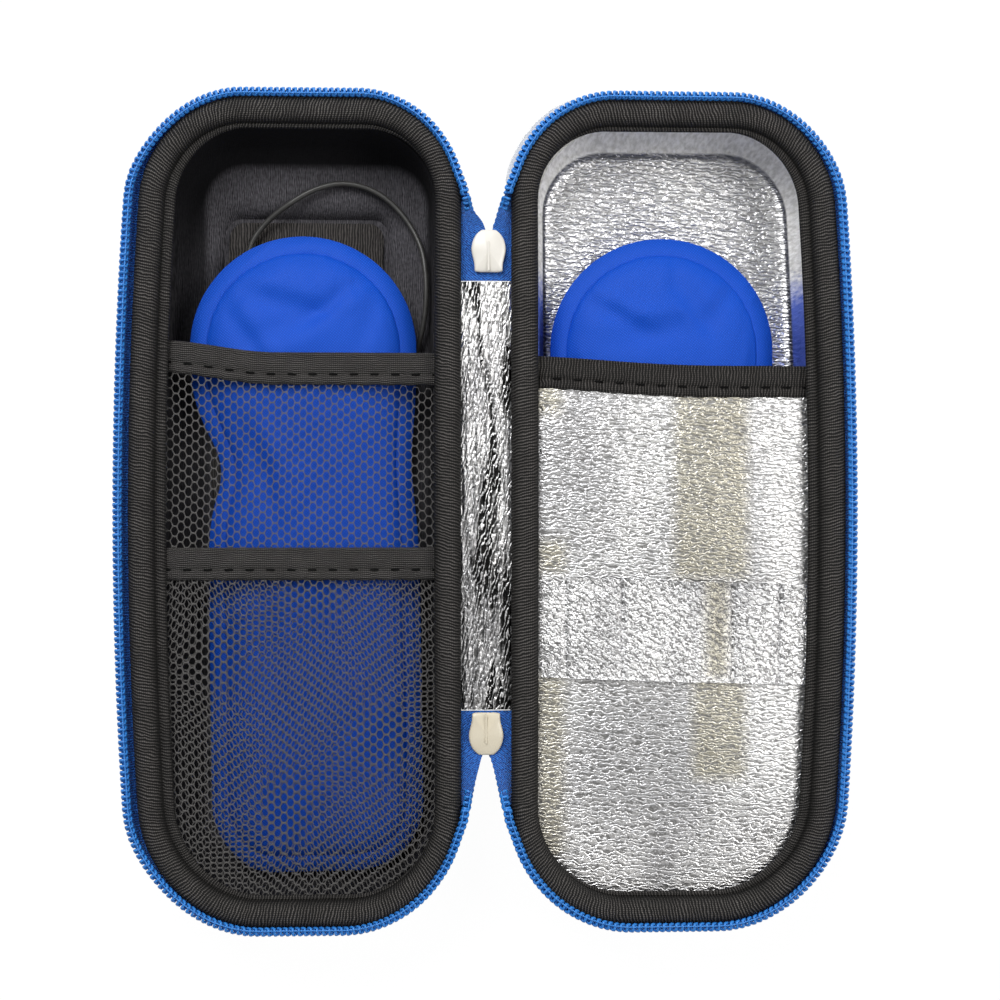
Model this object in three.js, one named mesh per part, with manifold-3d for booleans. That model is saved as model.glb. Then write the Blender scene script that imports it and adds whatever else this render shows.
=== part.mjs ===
// A cooling case for insulin pens, lying open: a clamshell of two moulded halves joined by a cloth hinge.
// Millimetres, +Z up. X runs across the two halves, Y along them, and the hinge lies over X = 0.
// The half at -X has a black lining, two net pockets and a thermometer; the half at +X is lined with foil.
import * as THREE from 'three';
import { mergeVertices } from 'three/addons/utils/BufferGeometryUtils.js';
import Module from 'manifold-3d';

const wasm = await Module();
wasm.setup();

// The plan of one half, from its hinge side at x = 0.
const halfWidth = 80;
const halfLength = 200;
const cornerRadiusTop = 25;
const cornerRadiusBottom = 29;
const sideBow = 4.5;
const leastCorner = 4;

// The moulded wall, its raised outer panel and the thin lining inside it.
const shellWall = 3.9;
const liningThickness = 0.8;
const gap = 0.3;
const rimHeight = 21.7;
const panelRise = 4;
const panelInset = 19;
const panelEndInset = 7;
const wallInset = 1.9;
const flangeThickness = 1.4;

// The hinge: half its width between the two rims, the place of each fold line, and how far its cloth stops
// short of the two ends of the case.
const spineHalfWidth = 6;
const foldOffset = 4.6;
const foldRise = 2.3;
const foldHeight = rimHeight + foldRise;
const spineTopInset = 44.2;
const spineBottomInset = 51.9;
const spineTop = halfLength / 2 - spineTopInset;
const spineBottom = spineBottomInset - halfLength / 2;

// The rim: the bound seam, its rolled binding and the two half zips.
const seamHeight = 2.5;
const bindingRise = 3.2;
const bindingWidth = 6.4;
const bindingLip = 2.6;
const tapeThickness = 0.7;
const zipRise = 6.3;
const farFlare = 4.2;
const endFlare = 1.6;
const hingeFlare = 2.2;
const coilWidth = 1.7;
const coilHeight = 1.8;
const toothDepth = 0.9;
const toothPitch = 4.4;

// The pockets sewn under the binding.
const pocketInset = 3.4;
const netThickness = 0.4;
const netPitch = 10.5;
const netStrand = 1.5;
const netMargin = 9.6;
const bandThickness = 1.2;
const bandWidth = 7.9;
const tallMouthInset = 61.4;
const shortMouthInset = 108.7;
const foilMouthInset = 61.8;
const tallMouth = halfLength / 2 - tallMouthInset;
const shortMouth = halfLength / 2 - shortMouthInset;
const foilMouth = halfLength / 2 - foilMouthInset;
const tallMouthSlopeShare = 0.04;
const foilMouthSlopeShare = -0.035;
const foilThickness = 0.7;
const foilCrown = 1.2;

// The band of pen loops: its ends and seams across the half, its place along it, and the rise of a full loop.
const loopStart = 7.4;
const loopSeams = [13.2, 26.7, 53, 64.7];
const loopEnd = 69.4;
const loopTopInset = 116.7;
const loopTop = halfLength / 2 - loopTopInset;
const loopHeight = 24.4;
const loopThickness = 0.8;
const loopRise = 2;
const loopFullSpan = 16;

// The gel packs, each held between its tray's two sides.
const packSideRoom = 12.2;
const packTopInset = 32.2;
const packBottomInset = 11.2;
const packWidth = halfWidth - packSideRoom * 2;
const packTopY = halfLength / 2 - packTopInset;
const packBottomY = packBottomInset - halfLength / 2;
const packFoot = 10;
const packHeight = 11.4;
const packSeam = 0.8;
const packSeamWidth = 3.5;
const packFootRadius = 17;
const packLeastCorner = 2;
const packPinch = 1.6;
const packWaistY = 11.1;
const packWaistLength = 13.9;
const frontPackOffset = -1.8;
const backPackOffset = -2;
const frontPackLean = THREE.MathUtils.degToRad(0.9);

// The thermometer, set in the outer panel of the front half.
const moduleX = halfWidth / 2;
const moduleY = 12;
const moduleWidth = 36;
const moduleDepth = 22;
const moduleWall = 1.2;
const moduleCorner = 2.5;
const moduleTop = 7.6;
const bezelMargin = 2;
const bezelRecess = 0.4;
const bezelThickness = 1.2;
const windowWidth = 24;
const windowDepth = 13;
const windowX = -4.5;
const crystalDepth = 14.2;
const crystalThickness = 1.5;
const buttonX = 12.6;
const buttonRadius = 2.4;
const buttonFlange = 0.6;
const buttonStem = 1.2;
const buttonChamfer = 0.3;
const boardThickness = 1;
const cellRadius = 8;
const cellThickness = 2;
const coverThickness = 0.8;

// The stretch cloth over the thermometer, and how far its rise stands out from the module at foot and head.
const clothThickness = 0.6;
const clothMargin = 1.05;
const clothFoot = new THREE.Vector2(1.35, 2.7);
const clothHead = new THREE.Vector2(0.75, 1.2);
const slitWidth = 5.4;
const slitLength = 9;
const slitCorner = 1.35;

// The sensor lead, the gland it leaves by and its probe.
const leadDiameter = 1.4;
const leadOffset = 10;
const leadX = moduleX + leadOffset;
const glandLength = 1.9;
const glandCollar = 0.8;
const glandDiameter = 2.2;
const glandTipDiameter = 1.7;
const probeDiameter = 2.4;
const probeLength = 14.5;
const probeTipDiameter = 1.8;

// The zip sliders and their pulls.
const sliderLength = 10.1;
const sliderWidth = 8.4;
const sliderPlate = 1.3;
const sliderNose = 3.8;
const sliderHeel = 6.8;
const sliderTopReach = 7.4;
const sliderBottomReach = 5.8;
const sliderTopX = 0.6;
const sliderTopY = spineTop + sliderTopReach;
const sliderBottomY = spineBottom - sliderBottomReach;
const sliderThroat = 1.4;
const postPlace = 3.1;
const postReach = 1.2;
const postHalf = 0.8;
const ridgeWidth = 0.45;
const ridgeLength = 6.3;
const ridgePlace = -1;
const bridgeGap = 1.5;
const bridgeBar = 0.9;
const bridgeWidth = 1.4;
const bridgeReach = 2.6;
const pullLength = 17;
const pullHalf = 2.6;
const pullEyeLength = 3.8;
const pullEyeInner = 1.2;
const pullEyeOuter = 2.15;

// The cloth of the hinge, its creases and the clearance that it keeps from each fold line.
const spineCloth = 0.7;
const creaseDepth = 0.28;
const foldClearance = 0.4;
const flapInset = 2.5;
const joinMargin = 0.45;
const forkBack = 1.7;

// Facet counts.
const cornerSteps = 5;
const sideSteps = 8;
const endSteps = 3;
const hingeSteps = 2;
const roundSteps = 20;

// Heights that the seam's stack sets.
const bindingFoot = rimHeight + seamHeight;
const seamFoot = rimHeight + gap;

// A closed mesh with its vertices merged and its faces turned outwards.
function closed(geometry) {
  geometry.deleteAttribute('normal');
  geometry.deleteAttribute('uv');
  const merged = mergeVertices(geometry);
  const place = merged.getAttribute('position');
  const index = Array.from(merged.index.array);
  const [a, b, c] = [new THREE.Vector3(), new THREE.Vector3(), new THREE.Vector3()];
  let volume = 0;
  for (let i = 0; i < index.length; i += 3) {
    a.fromBufferAttribute(place, index[i]);
    b.fromBufferAttribute(place, index[i + 1]);
    c.fromBufferAttribute(place, index[i + 2]);
    volume += a.dot(b.cross(c));
  }
  if (volume < 0) {
    index.reverse();
  }
  merged.setIndex(index);
  return merged;
}

// A solid for cutting, and the mesh that is left after the cut.
function toSolid(geometry) {
  const whole = closed(geometry);
  const vertProperties = new Float32Array(whole.getAttribute('position').array);
  const triVerts = new Uint32Array(whole.index.array);
  return new wasm.Manifold(new wasm.Mesh({ numProp: 3, vertProperties, triVerts }));
}

function toGeometry(solid) {
  const mesh = solid.getMesh();
  const geometry = new THREE.BufferGeometry();
  geometry.setAttribute('position', new THREE.BufferAttribute(new Float32Array(mesh.vertProperties), 3));
  geometry.setIndex(Array.from(mesh.triVerts));
  return geometry;
}

// A skin through loops of equally many points. The first and last are closed flat, or joined if ring is true.
function loft(loops, ring = false) {
  const count = loops[0].length;
  const positions = loops.flat().flatMap((p) => [p.x, p.y, p.z]);
  const index = [];
  const last = ring ? loops.length : loops.length - 1;
  for (let i = 0; i < last; i += 1) {
    const next = (i + 1) % loops.length;
    for (let k = 0; k < count; k += 1) {
      const along = (k + 1) % count;
      const [p, q] = [i * count + k, i * count + along];
      const [r, s] = [next * count + along, next * count + k];
      index.push(p, q, r, p, r, s);
    }
  }
  if (!ring) {
    index.push(...ladder(0, count, false), ...ladder((loops.length - 1) * count, count, true));
  }
  const geometry = new THREE.BufferGeometry();
  geometry.setAttribute('position', new THREE.Float32BufferAttribute(positions, 3));
  geometry.setIndex(index);
  return closed(geometry);
}

// Fills a loop with rungs between the points that lie opposite each other.
function ladder(first, count, forward) {
  const triangles = [];
  for (let k = 0; k < count / 2 - 1; k += 1) {
    const [a, b] = [first + k, first + k + 1];
    const [c, d] = [first + count - 2 - k, first + count - 1 - k];
    const faces = forward ? [[a, b, c], [a, c, d]] : [[a, c, b], [a, d, c]];
    for (const face of faces) {
      if (new Set(face).size === 3) {
        triangles.push(...face);
      }
    }
  }
  return triangles;
}

// The rounded outline of one half, anticlockwise from the foot of its hinge side, its far side bowed out.
function outline(sideInset, endInset = sideInset) {
  const [left, right] = [sideInset, halfWidth - sideInset];
  const [low, high] = [endInset - halfLength / 2, halfLength / 2 - endInset];
  const inset = (sideInset + endInset) / 2;
  const top = Math.max(cornerRadiusTop - inset, leastCorner);
  const bottom = Math.max(cornerRadiusBottom - inset, leastCorner);
  const corners = [
    { x: left + bottom, y: low + bottom, radius: bottom, steps: endSteps },
    { x: right - bottom, y: low + bottom, radius: bottom, steps: sideSteps },
    { x: right - top, y: high - top, radius: top, steps: endSteps },
    { x: left + top, y: high - top, radius: top, steps: hingeSteps },
  ];
  const arcs = corners.map(({ x, y, radius }, turn) => {
    const points = [];
    for (let k = 0; k <= cornerSteps; k += 1) {
      const angle = Math.PI + (turn + k / cornerSteps) * (Math.PI / 2);
      points.push(new THREE.Vector2(x + radius * Math.cos(angle), y + radius * Math.sin(angle)));
    }
    return points;
  });
  const points = arcs.flatMap((arc, turn) => {
    const from = arc[cornerSteps];
    const to = arcs[(turn + 1) % arcs.length][0];
    const between = [];
    for (let k = 1; k < corners[turn].steps; k += 1) {
      between.push(from.clone().lerp(to, k / corners[turn].steps));
    }
    return [...arc, ...between];
  });
  return points.map((p) => new THREE.Vector2(p.x * bowShare(p.y), p.y));
}

// How much of the half's width is left at a place along it, once its far side is bowed.
function bowShare(y) {
  return 1 - (sideBow / halfWidth) * (y / (halfLength / 2)) ** 2;
}

// The outward direction at each point of the outline.
const rim = outline(0);
const outward = outline(-gap).map((p, i) => p.clone().sub(rim[i]).normalize());

// How far the flange and the zip flare out: most on the far side, less round the corners and by the hinge.
const flarePower = 6;

function flareBy(nearHinge) {
  return outward.map((n) => {
    if (n.x > 0) {
      return THREE.MathUtils.lerp(endFlare, farFlare, n.x ** flarePower);
    }
    return THREE.MathUtils.lerp(endFlare, nearHinge, -n.x);
  });
}

const flangeFlare = flareBy(0);
const zipFlare = flareBy(hingeFlare);

// One loop round a half at a height. The end share widens the inset at the two ends of the case.
function loopAt({ inset, z, endShare = 0, flareShare = 0 }, flare = flangeFlare) {
  const plan = outline(inset, inset + panelEndInset * endShare);
  return plan.map((p, i) => {
    const out = outward[i].clone().multiplyScalar(flare[i] * flareShare);
    return new THREE.Vector3(p.x + out.x, p.y + out.y, z);
  });
}

// The outer profile of the moulded half, from the flat of its raised panel up to the rim. The insets are
// shares of the panel's inset and then of the wall's, the heights of the panel's rise and then of the wall's.
const wallHeight = rimHeight - panelRise;
const panelInsetShares = [1, 0.82, 0.75, 0.65];
const panelRiseShares = [0, 0.12, 0.85, 1];
const wallInsetShares = [4, 2, 1.2, 1];
const wallHeightShares = [0.03, 0.2, 0.56, 0.83];
const wallEndShares = [0.42, 0.22, 0.08, 0];
const outerProfile = [
  ...panelInsetShares.map((share, i) => {
    return { inset: panelInset * share, z: panelRise * panelRiseShares[i], endShare: 1 };
  }),
  ...wallInsetShares.map((share, i) => {
    const z = panelRise + wallHeight * wallHeightShares[i];
    return { inset: wallInset * share, z, endShare: wallEndShares[i] };
  }),
];

// The same profile moved into the wall by a depth, each point along its own normal.
function inward(profile, depth) {
  const points = profile.map((p) => new THREE.Vector2(p.inset, p.z));
  return profile.map((p, i) => {
    const before = i > 0 ? points[i].clone().sub(points[i - 1]) : new THREE.Vector2(-1, 0);
    const after = i < points.length - 1 ? points[i + 1].clone().sub(points[i]) : new THREE.Vector2(0, 1);
    const way = before.normalize().add(after.normalize()).normalize();
    return { ...p, inset: p.inset + way.y * depth, z: p.z - way.x * depth };
  });
}

// The top edge of a skin that lies at a depth inside the wall.
function brim(depth) {
  return { inset: wallInset + depth, z: rimHeight };
}

const liningFace = shellWall + gap + liningThickness;

// The moulded foam half: raised outer panel, upright wall and a flange under the zip.
function shellGeometry() {
  const flareShares = [0.8, 0.85];
  const flange = flareShares.map((flareShare, i) => {
    return { inset: 0, z: rimHeight - flangeThickness * (1 - i), flareShare };
  });
  const inner = [...inward(outerProfile, shellWall), brim(shellWall)].reverse();
  return loft([...outerProfile, ...flange, ...inner].map((p) => loopAt(p)));
}

// The thin lining that follows the wall from the floor to the rim.
function liningGeometry() {
  const back = [...inward(outerProfile, shellWall + gap), brim(shellWall + gap)];
  const face = [...inward(outerProfile, liningFace), brim(liningFace)].reverse();
  return loft([...back, ...face].map((p) => loopAt(p)));
}

// The grosgrain binding: a rolled tape with a lip that reaches over the pocket edges.
function bindingGeometry() {
  const acrossShares = [0, 0, 0.2, 0.5, 0.84, 1];
  const riseShares = [0, 0.38, 0.84, 1, 0.8, 0.42];
  const lipShares = [0.22, 0];
  const loops = acrossShares.map((share, i) => {
    return loopAt({ inset: gap / 2 + bindingWidth * share, z: bindingFoot + bindingRise * riseShares[i] });
  });
  for (const lipShare of lipShares) {
    const plan = outline(bindingWidth);
    loops.push(plan.map((p, i) => {
      const lip = bindingLip * (1 + outward[i].x) / 2;
      const z = bindingFoot + bindingRise * lipShare;
      return new THREE.Vector3(p.x - outward[i].x * lip, p.y - outward[i].y * lip, z);
    }));
  }
  return loft(loops, true);
}

// The path of the half zip: round the far side, from the foot of the hinge side to its head.
const zipStops = rim.length - hingeSteps + 1;

// The cloth tape: sewn flat into the seam, then flaring up and out to carry the coil.
function zipTapeGeometry() {
  const tipZ = seamFoot + zipRise - coilHeight - gap - tapeThickness;
  const seamDepth = pocketInset - gap * 2;
  const tuckShare = 0.6;
  const sections = [];
  for (let i = 0; i < zipStops; i += 1) {
    const at = (inset, z) => {
      const out = outward[i].clone().multiplyScalar(-inset);
      return new THREE.Vector3(rim[i].x + out.x, rim[i].y + out.y, z);
    };
    const tip = coilWidth * tuckShare - zipFlare[i];
    sections.push([
      at(seamDepth, seamFoot),
      at(0, seamFoot),
      at(tip, tipZ),
      at(tip, tipZ + tapeThickness),
      at(0, seamFoot + tapeThickness),
      at(seamDepth, seamFoot + tapeThickness),
    ]);
  }
  return loft(sections);
}

// The zip's chain: a saw-edged strip whose teeth point outwards, evenly spaced along the tape's edge.
function zipCoilGeometry() {
  const edge = (back) => {
    return new THREE.CatmullRomCurve3(Array.from({ length: zipStops }, (_, i) => {
      const out = outward[i].clone().multiplyScalar(zipFlare[i] - back);
      return new THREE.Vector3(rim[i].x + out.x, rim[i].y + out.y, 0);
    }));
  };
  const [nose, heel] = [edge(0), edge(coilWidth)];
  const teeth = Math.round(nose.getLength() / toothPitch);
  const low = seamFoot + zipRise - coilHeight;
  const sections = [];
  for (let k = 0; k <= teeth * 2; k += 1) {
    const t = nose.getUtoTmapping(k / (teeth * 2));
    const inner = heel.getPoint(t);
    const outer = nose.getPoint(t);
    const reach = k % 2 === 0 ? 1 - toothDepth / coilWidth : 1;
    const tip = inner.clone().lerp(outer, reach);
    sections.push([
      new THREE.Vector3(inner.x, inner.y, low),
      new THREE.Vector3(tip.x, tip.y, low + coilHeight / 2),
      new THREE.Vector3(inner.x, inner.y, low + coilHeight),
    ]);
  }
  return loft(sections);
}

// Cuts a plan outline along a sloping line and keeps the side below or above it.
function trim(points, line, keepBelow) {
  const side = (p) => (line.at + line.slopeShare * p.x - p.y) * (keepBelow ? 1 : -1);
  return points.flatMap((p, i) => {
    const q = points[(i + 1) % points.length];
    const [a, b] = [side(p), side(q)];
    const kept = a >= 0 ? [p] : [];
    if (a * b < 0) {
      kept.push(p.clone().lerp(q, a / (a - b)));
    }
    return kept;
  });
}

// A flat plate of a plan outline, from one height upwards.
function plate(shape, foot, thickness) {
  const options = { depth: thickness, bevelEnabled: false };
  return new THREE.ExtrudeGeometry(shape, options).translate(0, 0, foot);
}

function inside(point, loop) {
  let within = false;
  loop.forEach((a, i) => {
    const b = loop[(i + 1) % loop.length];
    if (a.y > point.y !== b.y > point.y) {
      const crossing = a.x + ((point.y - a.y) / (b.y - a.y)) * (b.x - a.x);
      within = point.x < crossing ? !within : within;
    }
  });
  return within;
}

// A flat net of six-sided gaps in staggered rows, with a solid hem all round.
function netGeometry(line, foot) {
  const shape = new THREE.Shape(trim(outline(pocketInset), line, true));
  const gapSides = 6;
  const startShare = 0.3;
  const lowered = { ...line, at: line.at - netPitch * startShare };
  const field = trim(outline(netMargin), lowered, true);
  const radius = (netPitch - netStrand) / Math.sqrt(3);
  const rowPitch = netPitch * Math.sqrt(3) / 2;
  const rows = Math.ceil(halfLength / rowPitch / 2);
  const columns = Math.ceil(halfWidth / netPitch);
  for (let row = -rows; row <= rows; row += 1) {
    for (let column = 0; column <= columns; column += 1) {
      const stagger = row % 2 === 0 ? 0 : 0.5;
      const x = (column + stagger + startShare) * netPitch;
      const hexagon = Array.from({ length: gapSides }, (_, k) => {
        const angle = (k + 0.5) * Math.PI * 2 / gapSides;
        return new THREE.Vector2(x + radius * Math.cos(angle), row * rowPitch + radius * Math.sin(angle));
      });
      if (hexagon.every((corner) => inside(corner, field))) {
        shape.holes.push(new THREE.Path(hexagon));
      }
    }
  }
  return plate(shape, foot, netThickness);
}

// The bound mouth of a pocket: a strip right across the half, under the binding at both ends.
function mouthBandGeometry(mouth, slopeShare, foot) {
  const upper = { at: mouth, slopeShare };
  const lower = { at: mouth - bandWidth, slopeShare };
  const strip = trim(trim(outline(pocketInset), upper, true), lower, false);
  return plate(new THREE.Shape(strip), foot, bandThickness);
}

// The foil pocket's panel: a sheet crowned over the pack behind it.
function foilPocketGeometry() {
  const line = { at: foilMouth - bandWidth - gap, slopeShare: foilMouthSlopeShare };
  const edge = trim(outline(pocketInset), line, true);
  const middle = new THREE.Vector2(halfWidth / 2, (line.at - halfLength / 2) / 2);
  const crownShares = [1, 0.85, 0.6, 0.3];
  const sheet = (lift) => crownShares.map((share) => edge.map((p) => {
    const at = middle.clone().lerp(p, share);
    return new THREE.Vector3(at.x, at.y, seamFoot + lift + foilCrown * (1 - share ** 2));
  }));
  return loft([...sheet(foilThickness).reverse(), ...sheet(0)]);
}

// The pen loops: one foil band sewn down at four seams, standing up in a low arch between them.
function penLoopGeometry() {
  const archSteps = 6;
  const profile = [new THREE.Vector2(loopStart, 0)];
  loopSeams.slice(0, -1).forEach((from, i) => {
    const span = loopSeams[i + 1] - from;
    const rise = loopRise * Math.min(span / loopFullSpan, 1);
    for (let k = i === 0 ? 0 : 1; k <= archSteps; k += 1) {
      const share = k / archSteps;
      profile.push(new THREE.Vector2(from + span * share, rise * Math.sin(Math.PI * share)));
    }
  });
  profile.push(new THREE.Vector2(loopEnd, 0));
  const above = profile.map((p) => new THREE.Vector2(p.x, p.y + loopThickness)).reverse();
  const shape = new THREE.Shape([...profile, ...above]);
  const geometry = new THREE.ExtrudeGeometry(shape, { depth: loopHeight, bevelEnabled: false });
  const foot = seamFoot + foilCrown + foilThickness + gap;
  return geometry.rotateX(Math.PI / 2).translate(0, loopTop, foot);
}

// A gel pack: a round-headed pillow with a flat welded edge, drawn in at the waist.
function packGeometry() {
  const radius = packWidth / 2;
  const [headSteps, sideFacets, footSteps] = [10, 6, 5];
  const headY = packTopY - radius;
  const plan = (inset) => {
    const points = [];
    const head = radius - inset;
    for (let k = 0; k <= headSteps; k += 1) {
      const angle = Math.PI * k / headSteps;
      points.push(new THREE.Vector2(head * Math.cos(angle), headY + head * Math.sin(angle)));
    }
    const footRadius = Math.max(packFootRadius - inset, packLeastCorner);
    const footY = packBottomY + inset + footRadius;
    const footX = head - footRadius;
    for (let k = 1; k < sideFacets; k += 1) {
      points.push(new THREE.Vector2(-head, THREE.MathUtils.lerp(headY, footY, k / sideFacets)));
    }
    for (const side of [0, 1]) {
      for (let k = 0; k <= footSteps; k += 1) {
        const angle = Math.PI * (1 + (side + k / footSteps) / 2);
        const x = (side === 0 ? -footX : footX) + footRadius * Math.cos(angle);
        points.push(new THREE.Vector2(x, footY + footRadius * Math.sin(angle)));
      }
    }
    for (let k = sideFacets - 1; k > 0; k -= 1) {
      points.push(new THREE.Vector2(head, THREE.MathUtils.lerp(headY, footY, k / sideFacets)));
    }
    return points.map((p) => {
      const pinch = packPinch * Math.exp(-(((p.y - packWaistY) / packWaistLength) ** 2));
      return new THREE.Vector2(p.x * (1 - pinch / radius), p.y);
    });
  };
  const seamZ = packFoot + packHeight / 2;
  const half = (packHeight - packSeam) / 2;
  const insetShares = [0, 1, 1.7, 3, 5.5];
  const crownShares = [0, 0, 0.45, 0.82, 1];
  const loops = (sign) => insetShares.map((share, i) => plan(packSeamWidth * share).map((p) => {
    return new THREE.Vector3(p.x, p.y, seamZ + sign * (packSeam / 2 + half * crownShares[i]));
  }));
  return loft([...loops(-1).reverse(), ...loops(1)]);
}

// A rectangle with rounded corners about its own centre.
function roundedRectangle(width, depth, radius) {
  const [x, y] = [width / 2 - radius, depth / 2 - radius];
  const shape = new THREE.Shape();
  shape.absarc(x, y, radius, 0, Math.PI / 2);
  shape.absarc(-x, y, radius, Math.PI / 2, Math.PI);
  shape.absarc(-x, -y, radius, Math.PI, Math.PI * 1.5);
  shape.absarc(x, -y, radius, Math.PI * 1.5, Math.PI * 2);
  return shape;
}

function roundedPlate(width, depth, radius, foot, thickness, holes = []) {
  const shape = roundedRectangle(width, depth, radius);
  shape.holes.push(...holes);
  const options = { depth: thickness, bevelEnabled: false, curveSegments: 4 };
  return new THREE.ExtrudeGeometry(shape, options).translate(0, 0, foot);
}

// The front half's wall, with the seat that the thermometer drops into.
function frontShellGeometry() {
  const throughWidth = moduleWidth + gap * 2;
  const throughDepth = moduleDepth + gap * 2;
  const bezelWidth = throughWidth + bezelMargin * 2;
  const bezelDepth = throughDepth + bezelMargin * 2;
  const seatHeight = bezelRecess + bezelThickness + gap;
  const overrun = shellWall;
  const through = roundedPlate(throughWidth, throughDepth, moduleCorner, -overrun, rimHeight);
  const seat = roundedPlate(bezelWidth, bezelDepth, moduleCorner, -overrun, overrun + seatHeight);
  const cut = toSolid(through).add(toSolid(seat)).translate([moduleX, moduleY, 0]);
  return toGeometry(toSolid(shellGeometry()).subtract(cut));
}

function frontLiningGeometry() {
  const width = moduleWidth + gap * 2;
  const depth = moduleDepth + gap * 2;
  const cut = toSolid(roundedPlate(width, depth, moduleCorner, 0, rimHeight));
  return toGeometry(toSolid(liningGeometry()).subtract(cut.translate([moduleX, moduleY, 0])));
}

// The ribbed stretch cloth in the recess: it lies on the floor, rises over the thermometer, and has a slit
// where the sensor lead comes out.
const clothFloor = liningFace + gap;
const clothTop = moduleTop + gap + coverThickness + gap;
function recessClothGeometry() {
  const side = panelInset + clothMargin;
  const around = (margin, z) => {
    const [x, y] = [moduleWidth / 2 + margin.x, moduleDepth / 2 + margin.y];
    return outline(side, side + panelEndInset).map((p) => {
      const shareX = (p.x - halfWidth / 2) / (halfWidth / 2 - side);
      const shareY = p.y / (halfLength / 2 - side - panelEndInset);
      const px = THREE.MathUtils.clamp(shareX, -1, 1) * x;
      return new THREE.Vector3(moduleX + px, moduleY + THREE.MathUtils.clamp(shareY, -1, 1) * y, z);
    });
  };
  const edge = (z) => loopAt({ inset: side, z, endShare: 1 });
  const lower = [edge(clothFloor), around(clothFoot, clothFloor), around(clothHead, clothTop)];
  const upper = [
    around(clothHead, clothTop + clothThickness),
    around(clothFoot, clothFloor + clothThickness),
    edge(clothFloor + clothThickness),
  ];
  const slit = roundedPlate(slitWidth, slitLength, slitCorner, 0, rimHeight);
  const place = [leadX, moduleY + moduleDepth / 2 + slitLength / 2 - gap, 0];
  return toGeometry(toSolid(loft([...upper, ...lower])).subtract(toSolid(slit).translate(place)));
}

// The lead's route in the whole case's own frame: out of the gland, up through the slit, over the step of the
// tray in an open bow, down the hinge side and under the pack's edge to the probe.
const leadRoute = [
  [-56, 25.5, 6.45],
  [-56, 28.5, 6.5],
  [-56.3, 32.5, 7],
  [-57, 38, 7.3],
  [-58.3, 47, 7.3],
  [-59.3, 56, 7.3],
  [-58.9, 66.6, 7.5],
  [-54.8, 72.6, 8.3],
  [-48.5, 77.2, 10.3],
  [-42.2, 80.6, 10.8],
  [-36.3, 82, 10.8],
  [-31, 81.4, 10.8],
  [-26, 79.2, 10.8],
  [-21.4, 75.2, 10.9],
  [-17.9, 70.2, 11.4],
  [-15.7, 64.9, 12.6],
  [-14.8, 59.3, 13.7],
  [-14.6, 53.3, 14],
  [-15.2, 47.2, 13.2],
  [-16.8, 40.5, 11.6],
  [-18.6, 32.5, 10.3],
  [-19.8, 23, 10.1],
  [-20.2, 12, 10.1],
  [-20.3, 0, 10.1],
  [-20.2, -14, 10.1],
  [-20, -30, 10.1],
  [-19.6, -45, 10.1],
  [-19.2, -57, 10.2],
  [-19, -64.5, 10.5],
  [-19.1, -69, 10.8],
];
const probeTip = new THREE.Vector3(-22.4, -83.2, 12.2);

function leadGeometry() {
  const sides = 8;
  const radius = leadDiameter / 2;
  const section = new THREE.Shape(Array.from({ length: sides }, (_, k) => {
    const angle = Math.PI * 2 * k / sides;
    return new THREE.Vector2(radius * Math.cos(angle), radius * Math.sin(angle));
  }));
  const route = new THREE.CatmullRomCurve3(leadRoute.map((p) => new THREE.Vector3(...p)));
  return new THREE.ExtrudeGeometry(section, { steps: 64, bevelEnabled: false, extrudePath: route });
}

// A turned piece from its half profile, with its axis along +Y before it is placed.
function turned(profile, steps = roundSteps) {
  return new THREE.LatheGeometry(profile.map(([radius, height]) => new THREE.Vector2(radius, height)), steps);
}

// The thermometer's pieces about the centre of its face, window and button side by side.
const innerFoot = bezelRecess + bezelThickness + gap;

function bezelGeometry() {
  const opening = roundedRectangle(windowWidth + gap * 2, windowDepth + gap * 2, moduleWall);
  const hole = new THREE.Path().absarc(buttonX, 0, buttonRadius + gap, 0, Math.PI * 2, true);
  const edge = opening.getPoints(4).map((p) => new THREE.Vector2(p.x + windowX, p.y));
  const [width, depth] = [moduleWidth + bezelMargin * 2, moduleDepth + bezelMargin * 2];
  return roundedPlate(width, depth, moduleCorner, bezelRecess, bezelThickness, [new THREE.Path(edge), hole]);
}

function housingGeometry() {
  const [width, depth] = [moduleWidth - moduleWall * 2, moduleDepth - moduleWall * 2];
  const hollow = roundedRectangle(width, depth, moduleCorner - moduleWall);
  const height = moduleTop - innerFoot;
  return roundedPlate(moduleWidth, moduleDepth, moduleCorner, innerFoot, height, [hollow]);
}

// The button: a cap through the bezel, a flange that keeps it in, and a stem that stops short of the board.
function buttonGeometry() {
  const cap = bezelRecess + gap / 2;
  const flangeTop = innerFoot + buttonFlange;
  const stemTop = flangeTop + buttonFlange;
  return turned([
    [0, cap],
    [buttonRadius - buttonChamfer, cap],
    [buttonRadius, cap + buttonChamfer],
    [buttonRadius, innerFoot],
    [buttonRadius + buttonFlange, innerFoot],
    [buttonRadius + buttonFlange, flangeTop],
    [buttonStem, flangeTop],
    [buttonStem, stemTop],
    [0, stemTop],
  ]).rotateX(Math.PI / 2);
}

// A slider: two shield-shaped plates on a post at the nose, with a ridge above and the pull's bridge below.
const sliderMiddle = foldHeight - sliderThroat / 2;
const upperPlateFoot = sliderMiddle + sliderThroat / 2;
const lowerPlateFoot = sliderMiddle - sliderThroat / 2 - sliderPlate;
const pullPivot = lowerPlateFoot - bridgeGap / 2;

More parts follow.
